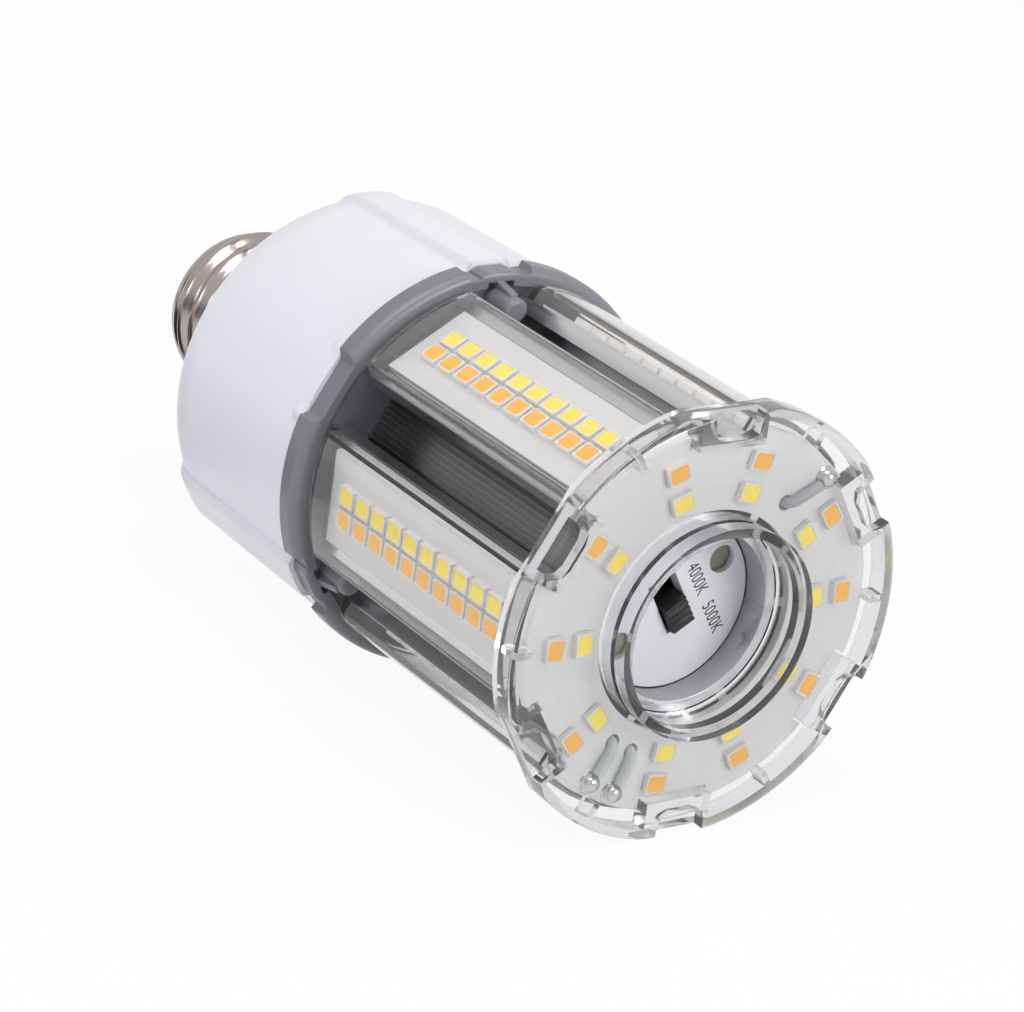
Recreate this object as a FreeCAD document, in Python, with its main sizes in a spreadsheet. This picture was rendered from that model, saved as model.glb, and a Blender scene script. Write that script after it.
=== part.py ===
"""Corn LED bulb with an E26 screw base, lying on its side as it comes to rest.

Every piece is drawn in the bulb's own frame: the bulb axis is Z, the light end points to +Z, and
Z = 0 is the front face of the heat sink.  A strip faces 30 degrees and every 60 degrees from
there.  The gaps between the strips face 0, 60, 120 degrees and so on.  Every second gap, from 0
degrees, lines up with a rib of the housing.  The placement of each piece then lays the bulb down
with the light end towards -Y and the rib at 0 degrees on top.
"""
import FreeCAD
import Part
import math
import os
import Sketcher
from FreeCAD import Placement, Rotation, Vector

# Driving sizes in millimetres, one row each: name, value, what it is
SIZES = [
    ("sink_len", 53.2, "length of the heat sink extrusion"),
    ("hub_bore_rad", 12.3, "bore of the heat sink hub"),
    ("hub_wall", 1.5, "wall of the hub"),
    ("spoke_half", 0.7, "half the thickness of a spoke"),
    ("seat_dist", 23.75, "axis to the face that a strip board sits on"),
    ("seat_thick", 1.85, "plate under a strip board"),
    ("rail_step", 0.85, "height of the side rails above the board seat"),
    ("rail_drop", 2.2, "depth of a rail's outer side"),
    ("rail_half", 9.2, "half the width over the two rails of a strip"),
    ("arm_half", 6.5, "half the width of an arm under its rails"),
    ("arm_wall", 1.3, "side wall of an arm"),
    ("floor_dist", 19.0, "axis to the floor of a gap"),
    ("floor_thick", 1.5, "web under the floor of a gap"),
    ("ridge_high", 0.45, "height of the ridges on the floor of a gap"),
    ("boss_dist", 15.7, "axis to a screw boss of the heat sink"),
    ("boss_rad", 2.4, "radius of a screw boss"),
    ("tap_rad", 1.3, "hole in a screw boss"),
    ("board_thick", 1.2, "thickness of all the boards that carry lights"),
    ("board_half", 6.6, "half the width of a strip board"),
    ("board_gap", 0.3, "clearance between the ends of a strip board and its cover"),
    ("light_long", 3.5, "length of one light package"),
    ("light_wide", 2.8, "width of one light package"),
    ("light_high", 0.95, "height of one light package"),
    ("light_pitch", 4.1, "pitch of the lights along a strip"),
    ("light_first", 8.08, "front of the heat sink to the middle of the first light"),
    ("light_last", 8.2, "rear of the heat sink to the last light's middle, at least"),
    ("row_gap", 3.32, "distance between the two rows of a strip"),
    ("cover_high", 4.0, "height of a strip cover's crown above the rails"),
    ("cover_wall", 0.9, "wall of a strip cover"),
    ("cover_round", 1.2, "rounding of a strip cover's outer edges"),
    ("cover_front", 1.0, "front of the heat sink to the front end of a cover"),
    ("cover_rear", 2.0, "rear of the heat sink to the rear end of a cover"),
    ("ring_board_in", 2.3, "skirt of the cap to the edge of the front board"),
    ("ring_board_hole", 15.9, "radius of the hole in the front board"),
    ("ring_outer_in", 4.08, "edge of the front board to the outer ring of lights"),
    ("ring_rows", 4.54, "distance between the two rings of lights"),
    ("ring_inner_out", 2.78, "hole of the front board to the inner ring of lights"),
    ("cap_rad", 31.0, "outer radius of the clear cap over its lobes"),
    ("cap_face", 4.35, "front of the heat sink to the front face of the cap"),
    ("cap_wall", 1.4, "thickness of the cap's face and skirt"),
    ("cap_skirt", 4.6, "length of the cap's skirt"),
    ("cap_round", 1.2, "rounding of the cap's front edge"),
    ("notch_deep", 4.3, "depth of a cap notch, from the cap's outer radius"),
    ("notch_half", 3.9, "half the width of a cap notch"),
    ("notch_round", 2.0, "rounding of the inner corners of a cap notch"),
    ("lobe_start", 7.0, "middle of a gap to the nearest end of a lobe of the cap"),
    ("ledge_in", 0.9, "outer radius of the cap to the edge of the ledge in a notch"),
    ("ledge_drop", 1.9, "cap face to the ledge in a cap notch"),
    ("ledge_thick", 1.5, "thickness of that ledge"),
    ("ledge_leg", 1.15, "how far the two legs beside a ledge reach past it"),
    ("leg_deep", 0.6, "edge of a ledge to the inner side of its legs"),
    ("leg_half", 1.0, "half the width of such a leg"),
    ("cap_lift", 0.3, "clearance between the cap's notch walls and the heat sink"),
    ("tube_bore_rad", 13.9, "bore of the cap's middle tube"),
    ("tube_wall", 1.3, "wall of the cap's middle tube"),
    ("tube_proud", 2.2, "how far the middle tube stands in front of the face"),
    ("cap_gap", 0.15, "clearance behind the middle tube and beside the front board"),
    ("band_rad", 30.3, "outer radius of the collar"),
    ("band_len", 3.5, "length of the collar's band"),
    ("bulkhead", 2.15, "thickness of the collar's bulkhead"),
    ("collar_bore_rad", 27.5, "clear radius inside the collar's band"),
    ("flat_dist", 28.7, "axis to the flats of the collar"),
    ("flat_half", 4.2, "half the width of a flat of the collar"),
    ("lug_rad", 29.6, "axis to the top of a lug of the collar"),
    ("lug_half", 3.15, "half the width of a lug"),
    ("band_round", 1.5, "rounding of the collar's front edge"),
    ("lug_roof", 1.3, "thickness of a lug over the hollow under it"),
    ("nick_depth", 1.4, "depth of the nicks beside a lug"),
    ("nick_wide", 1.9, "width of the nicks beside a lug"),
    ("post_dist", 25.5, "axis to a post of the collar"),
    ("post_rad", 1.85, "radius of a post"),
    ("post_len", 6.05, "length of a post in front of the bulkhead"),
    ("web_thick", 1.2, "thickness of the web between a post and its lug"),
    ("seat_gap", 0.3, "clearance between a strip and the pieces around it"),
    ("lip_len", 3.5, "length of the collar's lip inside the housing"),
    ("lip_wall", 1.6, "wall of that lip"),
    ("hatch_rad", 9.5, "hole in the middle of the bulkhead"),
    ("housing_len", 37.8, "length of the driver housing"),
    ("housing_rad", 29.34, "radius of the housing at its front"),
    ("housing_draft", 0.54, "how much narrower the housing is at its rear"),
    ("housing_wall", 1.8, "wall of the housing"),
    ("rim_round", 8.0, "rounding of the housing's rear rim"),
    ("rib_high", 1.0, "height of the housing's ribs"),
    ("rib_wide", 9.0, "width of the housing's ribs"),
    ("tab_rad", 1.6, "radius of the small tabs on the housing's front edge"),
    ("tab_high", 0.35, "how far those tabs stand out"),
    ("tab_long", 2.4, "length of those tabs along the housing"),
    ("neck_rad", 11.9, "radius of the housing's neck inside the screw shell"),
    ("neck_wall", 1.5, "wall of the neck"),
    ("neck_len", 17.0, "length of the neck"),
    ("shoulder_len", 2.4, "length of the shoulder between the housing and the screw shell"),
    ("shoulder_past", 0.6, "how much wider that shoulder is than the thread"),
    ("shell_len", 25.0, "length of the screw shell"),
    ("crest_rad", 13.15, "radius over the thread of the screw shell"),
    ("root_rad", 12.4, "radius at the root of that thread"),
    ("thread_pitch", 3.63, "pitch of that thread"),
    ("crest_round", 1.3, "radius of the rounded thread crests"),
    ("shell_bore_rad", 12.0, "bore of the screw shell"),
    ("shell_turn_in", 2.1, "length of the turned-in rear end of the shell"),
    ("shell_mouth_rad", 10.4, "hole in the rear end of the shell"),
    ("button_rad", 4.8, "radius of the end contact"),
    ("button_high", 1.6, "height of the end contact"),
    ("button_stem_rad", 2.6, "radius of the end contact's stem"),
    ("cone_len", 3.1, "length of the insulator behind the shell"),
    ("plate_depth", 4.35, "front of the heat sink to the switch plate"),
    ("plate_thick", 2.2, "thickness of the switch plate"),
    ("plate_gap", 0.12, "clearance around the switch plate"),
    ("plate_skirt", 5.2, "length of the skirt behind the switch plate"),
    ("plate_skirt_wall", 1.2, "wall of that skirt"),
    ("slot_long", 8.0, "length of the slot in the switch plate"),
    ("slot_wide", 4.3, "width of the slot in the switch plate"),
    ("knob_long", 4.2, "length of the switch knob along its travel"),
    ("knob_proud", 1.3, "how far the knob stands in front of the plate"),
    ("knob_gap", 0.3, "clearance around the knob"),
    ("knob_sunk", 2.4, "how far the knob reaches into the switch body"),
    ("switch_long", 12.0, "length of the switch body"),
    ("switch_wide", 7.4, "width of the switch body"),
    ("switch_high", 3.4, "height of the switch body"),
    ("cup_dist", 9.2, "axis to a screw of the switch plate"),
    ("cup_rad", 2.0, "radius of a screw recess in the switch plate"),
    ("cup_depth", 1.6, "depth of a screw recess"),
    ("small_screw_rad", 1.05, "radius of the small screws' shanks"),
    ("small_head_rad", 1.8, "radius of the small screws' heads"),
    ("small_head_high", 0.8, "height of the small screws' heads"),
    ("screw_rad", 1.25, "radius of the collar screws' shanks"),
    ("head_rad", 2.6, "radius of the collar screws' heads"),
    ("head_high", 1.9, "height of the collar screws' heads"),
    ("screw_bite", 8.0, "how far a collar screw reaches into the heat sink"),
    ("lead_rad", 0.75, "radius of an insulated lead"),
    ("lead_hole_rad", 1.1, "holes that the leads pass through"),
    ("lead_hole_dist", 19.4, "axis to those holes"),
    ("blob_in", 1.7, "edge of the front board to the middle of a solder joint"),
    ("blob_rad", 1.45, "radius of a solder joint"),
    ("driver_thick", 1.6, "thickness of the driver board"),
    ("driver_drop", 6.0, "axis to the driver board"),
    ("driver_len", 27.0, "length of the driver board"),
    ("driver_gap", 0.3, "clearance around the driver board"),
    ("core_long", 14.0, "length of the transformer's core"),
    ("core_wide", 16.0, "width of the transformer's core"),
    ("core_high", 13.0, "height of the transformer's core"),
    ("coil_past", 2.0, "how far the transformer's coil stands out at each end"),
    ("coil_less", 2.5, "how much narrower and lower the coil is than the core"),
    ("core_side", 12.0, "middle of the driver board to the transformer"),
    ("parts_front", 8.6, "front of the driver board to its large pieces"),
    ("can_rad", 5.0, "radius of the capacitor"),
    ("can_long", 16.0, "length of the capacitor"),
    ("can_side", 4.0, "middle of the driver board to the capacitor"),
    ("choke_rad", 4.0, "radius of the choke"),
    ("choke_high", 9.0, "height of the choke"),
    ("choke_side", 15.0, "middle of the driver board to the choke"),
    ("chip_long", 6.0, "length of a chip on the driver board"),
    ("chip_wide", 4.0, "width of a chip on the driver board"),
    ("chip_high", 2.0, "height of a chip on the driver board"),
    ("solder_land", 5.0, "length of a supply lead's stretch along the driver board"),
]

SIDES = 6
STRIP_LETTERS = "abcdef"
RIDGES = 8
THREADS = 5
# Directions of the ten pairs of front lights.  The two wider steps leave room for the leads
RING_ANGLES = [18.3, 344.9, 304.3, 273.4, 239.3, 205.1, 171.3, 128.3, 91.2, 54.8]
# Directions of the three leads and of their solder joints
LEAD_ANGLES = {"lead_grey": -37.0, "lead_white_1": 144.5, "lead_white_2": 155.5}
BLOB_SWING = {"lead_grey": -7.0, "lead_white_1": 1.5, "lead_white_2": 0.5}
SCREW_ANGLES = [60, 180, 300]
CUP_ANGLES = [-54, 126]
TAB_ANGLES = [49.5, 70.5]
SWITCH_ANGLE = 30

doc = FreeCAD.newDocument("corn_led_bulb")
sheet = doc.addObject("Spreadsheet::Sheet", "sizes")
for row, (name, value, meaning) in enumerate(SIZES, 1):
    sheet.set("A%d" % row, name)
    sheet.set("B%d" % row, str(value))
    sheet.set("C%d" % row, meaning)
    sheet.setAlias("B%d" % row, name)
doc.recompute()

pieces = []


def value_of(expression):
    """The number that an expression of the sheet's names gives."""
    return float(sheet.evalExpression(str(expression)))


# The bulb rests on its cap's lobes, so its axis is a little less than the cap's radius high
AXIS_HEIGHT = value_of("sqrt(sizes.cap_rad * sizes.cap_rad - sizes.lobe_start * sizes.lobe_start)")
FRONT = value_of("sizes.cap_face + sizes.tube_proud")
REAR = value_of("sizes.sink_len + sizes.bulkhead + sizes.housing_len + sizes.shoulder_len"
                " + sizes.shell_len + sizes.cone_len + sizes.button_high")
LIE_DOWN = Placement(
    Vector(0, (FRONT - REAR) / 2, AXIS_HEIGHT),
    Rotation(Vector(0, 0, 1), Vector(-1, 0, 0), Vector(0, -1, 0), "ZXY"))


def turned(distance, across, angle):
    """Expressions for a point at a distance and across it, turned by an angle in degrees."""
    return ("(%s) * cos(%s deg) - (%s) * sin(%s deg)" % (distance, angle, across, angle),
            "(%s) * sin(%s deg) + (%s) * cos(%s deg)" % (distance, angle, across, angle))


def keep(item, label, angle=0):
    """Name a finished piece, turn it about the bulb axis and lay it down with the bulb."""
    item.Label = label
    spin = Placement(Vector(0, 0, 0), Rotation(Vector(0, 0, 1), angle))
    item.Placement = LIE_DOWN.multiply(spin)
    pieces.append(item)
    return item


def new_body(label, angle=0):
    return keep(doc.addObject("PartDesign::Body", label), label, angle)


def origin_part(body, role):
    return next(part for part in body.Origin.OriginFeatures if part.Role == role)


def new_sketch(body, name, plane="XY_Plane", offset="0"):
    """A sketch on one of the body's own origin planes, lifted off it by an expression."""
    sketch = body.newObject("Sketcher::SketchObject", name)
    sketch.AttachmentSupport = [(origin_part(body, plane), "")]
    sketch.MapMode = "FlatFace"
    if offset != "0":
        sketch.setExpression("AttachmentOffset.Base.z", offset)
    return sketch


def bind(sketch, constraint, expression):
    index = sketch.addConstraint(constraint)
    sketch.setExpression("Constraints[%d]" % index, str(expression))


def outline(sketch, corners):
    """A closed outline whose corners are bound to expressions of the sheet."""
    spots = [Vector(value_of(x), value_of(y), 0) for x, y in corners]
    count = len(spots)
    start = sketch.GeometryCount
    for index in range(count):
        sketch.addGeometry(Part.LineSegment(spots[index], spots[(index + 1) % count]), False)
    for index in range(count):
        following = start + (index + 1) % count
        sketch.addConstraint(Sketcher.Constraint("Coincident", start + index, 2, following, 1))
    for index, (x, y) in enumerate(corners):
        line = start + index
        bind(sketch, Sketcher.Constraint("DistanceX", -1, 1, line, 1, spots[index].x), x)
        bind(sketch, Sketcher.Constraint("DistanceY", -1, 1, line, 1, spots[index].y), y)


def ring(sketch, radius, x="0", y="0"):
    """A circle whose radius and middle are bound to expressions of the sheet."""
    middle = Vector(value_of(x), value_of(y), 0)
    circle = sketch.addGeometry(Part.Circle(middle, Vector(0, 0, 1), value_of(radius)), False)
    bind(sketch, Sketcher.Constraint("DistanceX", -1, 1, circle, 3, middle.x), x)
    bind(sketch, Sketcher.Constraint("DistanceY", -1, 1, circle, 3, middle.y), y)
    bind(sketch, Sketcher.Constraint("Radius", circle, value_of(radius)), radius)


def slab(sketch, low_x, high_x, low_y, high_y):
    outline(sketch, [(low_x, low_y), (high_x, low_y), (high_x, high_y), (low_x, high_y)])


def domed(sketch, low, radius, half, angle=0):
    """A closed outline with a flat foot, two flat sides and a top that is round about the axis."""
    shoulder = "sqrt((%s) * (%s) - (%s) * (%s))" % (radius, radius, half, half)
    corners = [turned(low, "-(%s)" % half, angle), turned(shoulder, "-(%s)" % half, angle),
               turned(shoulder, half, angle), turned(low, half, angle)]
    spots = [Vector(value_of(x), value_of(y), 0) for x, y in corners]
    start = sketch.GeometryCount
    circle = Part.Circle(Vector(0, 0, 0), Vector(0, 0, 1), value_of(radius))
    from_turn, to_turn = (math.atan2(spot.y, spot.x) for spot in spots[1:3])
    sketch.addGeometry(Part.LineSegment(spots[0], spots[1]), False)
    sketch.addGeometry(Part.ArcOfCircle(circle, from_turn, to_turn), False)
    sketch.addGeometry(Part.LineSegment(spots[2], spots[3]), False)
    sketch.addGeometry(Part.LineSegment(spots[3], spots[0]), False)
    for index in range(4):
        following = start + (index + 1) % 4
        sketch.addConstraint(Sketcher.Constraint("Coincident", start + index, 2, following, 1))
    sketch.addConstraint(Sketcher.Constraint("Coincident", start + 1, 3, -1, 1))
    for index, (x, y) in enumerate(corners):
        line = start + index
        bind(sketch, Sketcher.Constraint("DistanceY", -1, 1, line, 1, spots[index].y), y)
        if index != 2:
            bind(sketch, Sketcher.Constraint("DistanceX", -1, 1, line, 1, spots[index].x), x)


def pad(body, sketch, length):
    feature = body.newObject("PartDesign::Pad", sketch.Name + "_pad")
    feature.Profile = sketch
    feature.setExpression("Length", length)
    return feature


def pocket(body, sketch, length, reverse=False):
    """Cut along the sketch's negative direction, or its positive one where it is reversed."""
    feature = body.newObject("PartDesign::Pocket", sketch.Name + "_pocket")
    feature.Profile = sketch
    feature.setExpression("Length", length)
    feature.Reversed = reverse
    return feature


def around(body, features, count):
    """Repeat features about the bulb axis."""
    feature = body.newObject("PartDesign::PolarPattern", features[0].Name + "_around")
    feature.Originals = features
    feature.Axis = (origin_part(body, "Z_Axis"), [""])
    feature.Angle = 360
    feature.Occurrences = count
    body.Tip = feature
    return feature


def spun(body, sketch, kind="PartDesign::Revolution"):
    """Turn a profile drawn on the XZ plane about the bulb axis."""
    feature = body.newObject(kind, sketch.Name + "_turn")
    feature.Profile = sketch
    feature.ReferenceAxis = (sketch, ["V_Axis"])
    feature.Angle = 360
    return feature


def edges_where(feature, wanted):
    """Names of the edges of a feature that a test of the edge picks out."""
    doc.recompute()
    return ["Edge%d" % (index + 1) for index, edge in enumerate(feature.Shape.Edges)
            if wanted(edge)]


def rounded(body, base, wanted, radius, name):
    feature = body.newObject("PartDesign::Fillet", name)
    feature.Base = (base, edges_where(base, wanted))
    feature.setExpression("Radius", radius)
    return feature


def round_edge(radius, level):
    """A test that picks the full circles of one radius at one height of the bulb axis."""
    def wanted(edge):
        circle = edge.Curve
        if not isinstance(circle, Part.Circle):
            return False
        return abs(circle.Radius - radius) < 0.01 and abs(circle.Center.z - level) < 0.01
    return wanted


def cylinder(name, radius, height, level="0", distance="0", angle=0):
    """A cylinder along the bulb axis, or beside it at a distance and an angle."""
    item = doc.addObject("Part::Cylinder", name)
    item.setExpression("Radius", radius)
    item.setExpression("Height", height)
    x, y = turned(distance, "0", angle)
    item.setExpression("Placement.Base.x", x)
    item.setExpression("Placement.Base.y", y)
    item.setExpression("Placement.Base.z", level)
    return item


def cone(name, low_radius, high_radius, height, level):
    item = doc.addObject("Part::Cone", name)
    item.setExpression("Radius1", low_radius)
    item.setExpression("Radius2", high_radius)
    item.setExpression("Height", height)
    item.setExpression("Placement.Base.z", level)
    return item


def joined(name, shapes):
    item = doc.addObject("Part::MultiFuse", name)
    item.Shapes = shapes
    return item


def grouped(name, *shapes):
    """A group of solids that stay separate."""
    item = doc.addObject("Part::Compound", name)
    item.Links = list(shapes)
    return item


def less(name, base, tool):
    item = doc.addObject("Part::Cut", name)
    item.Base = base
    item.Tool = tool
    return item


# Heights along the bulb axis that several pieces share
SINK_REAR = "-sizes.sink_len"
COLLAR_REAR = "-(sizes.sink_len + sizes.bulkhead)"
HOUSING_REAR = "-(sizes.sink_len + sizes.bulkhead + sizes.housing_len)"
SHELL_REAR = "(%s - sizes.shoulder_len - sizes.shell_len)" % HOUSING_REAR
RAIL_DIST = "(sizes.seat_dist + sizes.rail_step)"
BOARD_FACE = "(sizes.seat_dist + sizes.board_thick)"
RING_BOARD_RAD = "(sizes.cap_rad - sizes.cap_wall - sizes.ring_board_in)"
NOTCH_DIST = "(sizes.cap_rad - sizes.notch_deep)"
LEDGE_DIST = "(sizes.cap_rad - sizes.ledge_in)"
COVER_REAR = "-(sizes.sink_len - sizes.cover_rear)"
INSIDE_SHELL = "(%s + sizes.shell_turn_in)" % SHELL_REAR
COVER_CROWN = "(%s + sizes.cover_high)" % RAIL_DIST


def heat_sink():
    """One aluminium extrusion: six seats with rails, gaps with ridged floors, spokes and a hub."""
    body = new_body("heat_sink")
    block = new_sketch(body, "sink_block", offset=SINK_REAR)
    corners = []
    for side in range(SIDES):
        angle = 30 + 60 * side
        corners.append(turned(RAIL_DIST, "-sizes.rail_half", angle))
        corners.append(turned(RAIL_DIST, "sizes.rail_half", angle))
    outline(block, corners)
    pad(body, block, "sizes.sink_len")

    cell = new_sketch(body, "sink_cell")
    roof = "(sizes.seat_dist - sizes.seat_thick)"
    inner = "(sizes.arm_half - sizes.arm_wall)"
    web = "((sizes.floor_dist - sizes.floor_thick) - %s * sin(30 deg)) / cos(30 deg)" % inner
    outline(cell, [
        turned("2", "-sizes.spoke_half", 30),
        turned(roof, "-sizes.spoke_half", 30),
        turned(roof, "-%s" % inner, 30),
        turned(web, "-%s" % inner, 30),
        turned(web, inner, -30),
        turned(roof, inner, -30),
        turned(roof, "sizes.spoke_half", -30),
        turned("2", "sizes.spoke_half", -30)])
    around(body, [pocket(body, cell, "sizes.sink_len")], SIDES)

    seat = new_sketch(body, "sink_seat")
    low, high = "-(sizes.board_half + sizes.seat_gap)", "(sizes.board_half + sizes.seat_gap)"
    outline(seat, [turned("sizes.seat_dist", low, 30), turned("sizes.seat_dist + 2", low, 30),
                   turned("sizes.seat_dist + 2", high, 30), turned("sizes.seat_dist", high, 30)])
    around(body, [pocket(body, seat, "sizes.sink_len")], SIDES)

    gap = new_sketch(body, "sink_gap")
    rail_foot = "(%s - sizes.rail_drop)" % RAIL_DIST
    floor = "(sizes.floor_dist - sizes.arm_half * sin(30 deg)) / cos(30 deg)"
    floor_half = "(%s * sin(30 deg) - sizes.arm_half * cos(30 deg))" % floor
    mouth = turned("(%s + 2)" % RAIL_DIST, "-sizes.rail_half", 30)
    right = [mouth, turned(rail_foot, "-sizes.rail_half", 30),
             turned(rail_foot, "-sizes.arm_half", 30), turned(floor, "-sizes.arm_half", 30)]
    ridges = []
    for step in range(1, 2 * RIDGES):
        lift = "sizes.ridge_high" if step % 2 else "0"
        ridges.append(("sizes.floor_dist + %s" % lift,
                       "%s * (1 - %d / %d)" % (floor_half, step, RIDGES)))
    left = [(x, "-(%s)" % y) for x, y in reversed(right)]
    outline(gap, right + ridges + left)
    around(body, [pocket(body, gap, "sizes.sink_len")], SIDES)

    hub = new_sketch(body, "sink_hub", offset=SINK_REAR)
    ring(hub, "sizes.hub_bore_rad + sizes.hub_wall")
    pad(body, hub, "sizes.sink_len")
    boss = new_sketch(body, "sink_boss", offset=SINK_REAR)
    ring(boss, "sizes.boss_rad", *turned("sizes.boss_dist", "0", SCREW_ANGLES[0]))
    around(body, [pad(body, boss, "sizes.sink_len")], len(SCREW_ANGLES))
    bore = new_sketch(body, "sink_bore")
    ring(bore, "sizes.hub_bore_rad")
    pocket(body, bore, "sizes.sink_len")
    tap = new_sketch(body, "sink_tap")
    ring(tap, "sizes.tap_rad", *turned("sizes.boss_dist", "0", SCREW_ANGLES[0]))
    around(body, [pocket(body, tap, "sizes.sink_len")], len(SCREW_ANGLES))


def strip_board(letter, angle):
    """A long board of lights, drawn as if its strip faced +X."""
    body = new_body("strip_board_" + letter, angle)
    front = "-(sizes.cover_front + sizes.cover_wall + sizes.board_gap)"
    rear = "(%s + sizes.cover_wall + sizes.board_gap)" % COVER_REAR
    face = new_sketch(body, "board_%s_face" % letter, offset=rear)
    slab(face, "sizes.seat_dist", BOARD_FACE, "-sizes.board_half", "sizes.board_half")
    pad(body, face, "%s - %s" % (front, rear))


def strip_cover(letter, angle):
    """A clear channel with a domed top and closed ends, standing on the two rails."""
    body = new_body("strip_cover_" + letter, angle)
    block = new_sketch(body, "cover_%s_block" % letter, offset=COVER_REAR)
    domed(block, RAIL_DIST, COVER_CROWN, "sizes.rail_half")
    base = pad(body, block, "sizes.sink_len - sizes.cover_rear - sizes.cover_front")
    crown, half = value_of(COVER_CROWN), value_of("sizes.rail_half")
    shoulder = math.sqrt(crown * crown - half * half)
    rounded(body, base, lambda edge: edge.BoundBox.XMin > shoulder - 0.01,
            "sizes.cover_round", "cover_%s_round" % letter)
    hollow = new_sketch(body, "cover_%s_hollow" % letter,
                        offset="-(sizes.cover_front + sizes.cover_wall)")
    domed(hollow, "%s - 1" % RAIL_DIST, "%s - sizes.cover_wall" % COVER_CROWN,
          "sizes.rail_half - sizes.cover_wall")
    pocket(body, hollow,
           "sizes.sink_len - sizes.cover_rear - sizes.cover_front - 2 * sizes.cover_wall")


def light(long_size, wide_size, high_size):
    """One light package on the XY plane, its first terminal marked by a cut corner."""
    half_long = long_size / 2
    half_wide = wide_size / 2
    cut = wide_size / 6
    corners = [Vector(-half_wide, -half_long, 0), Vector(half_wide, -half_long, 0),
               Vector(half_wide, half_long, 0), Vector(cut - half_wide, half_long, 0),
               Vector(-half_wide, half_long - cut, 0)]
    return Part.Face(Part.makePolygon(corners + corners[:1])).extrude(Vector(0, 0, high_size))


def light_group(label, lights, angle=0):
    group = doc.addObject("Part::Feature", label)
    group.Shape = Part.makeCompound(lights)
    keep(group, label, angle)


def strip_lights(letter, angle):
    """The two rows of lights of a strip: cool white beside warm white."""
    package = light(*[value_of("sizes.light_" + word) for word in ("long", "wide", "high")])
    # The package's height points away from the axis and its length along the bulb
    stand = Rotation(Vector(0, 1, 0), Vector(0, 0, 1), Vector(1, 0, 0), "ZXY")
    room = value_of("sizes.sink_len - sizes.light_first - sizes.light_last")
    count = int(room / value_of("sizes.light_pitch") + 0.001) + 1
    for label, side in (("cool_lights_", -1), ("warm_lights_", 1)):
        row_of_lights = []
        for index in range(count):
            spot = Vector(value_of(BOARD_FACE), side * value_of("sizes.row_gap / 2"),
                          -value_of("sizes.light_first + %d * sizes.light_pitch" % index))
            copy = package.copy()
            copy.Placement = Placement(spot, stand)
            row_of_lights.append(copy)
        light_group(label + letter, row_of_lights, angle)


def front_board():
    """The ring board on the front of the heat sink, with a notch at each gap."""
    body = new_body("front_board")
    disc = new_sketch(body, "front_disc")
    ring(disc, RING_BOARD_RAD)
    ring(disc, "sizes.ring_board_hole")
    pad(body, disc, "sizes.board_thick")
    notch = new_sketch(body, "front_notch", offset="sizes.board_thick")
    half = "(sizes.notch_half + sizes.cap_wall + sizes.seat_gap)"
    slab(notch, "%s - sizes.cap_wall - sizes.seat_gap" % NOTCH_DIST, RING_BOARD_RAD + " + 2",
         "-%s" % half, half)
    around(body, [pocket(body, notch, "sizes.board_thick")], SIDES)
    holes = new_sketch(body, "front_holes", offset="sizes.board_thick")
    for angle in LEAD_ANGLES.values():
        ring(holes, "sizes.lead_hole_rad", *turned("sizes.lead_hole_dist", "0", angle))
    pocket(body, holes, "sizes.board_thick")


def front_lights():
    """Ten pairs of lights on the front board, warm outside and cool inside."""
    package = light(*[value_of("sizes.light_" + word) for word in ("long", "wide", "high")])
    share = ("((%s - sizes.ring_board_hole)"
             " / (sizes.ring_outer_in + sizes.ring_rows + sizes.ring_inner_out))" % RING_BOARD_RAD)
    outer = "%s - sizes.ring_outer_in * %s" % (RING_BOARD_RAD, share)
    inner = "sizes.ring_board_hole + sizes.ring_inner_out * %s" % share
    for label, radius in (("warm_lights_front", outer), ("cool_lights_front", inner)):
        ring_of_lights = []
        for angle in RING_ANGLES:
            copy = package.copy()
            out = Rotation(Vector(0, 0, 1), angle)
            spot = out.multVec(Vector(value_of(radius), 0, value_of("sizes.board_thick")))
            copy.Placement = Placement(spot, out)
            ring_of_lights.append(copy)
        light_group(label, ring_of_lights)


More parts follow.
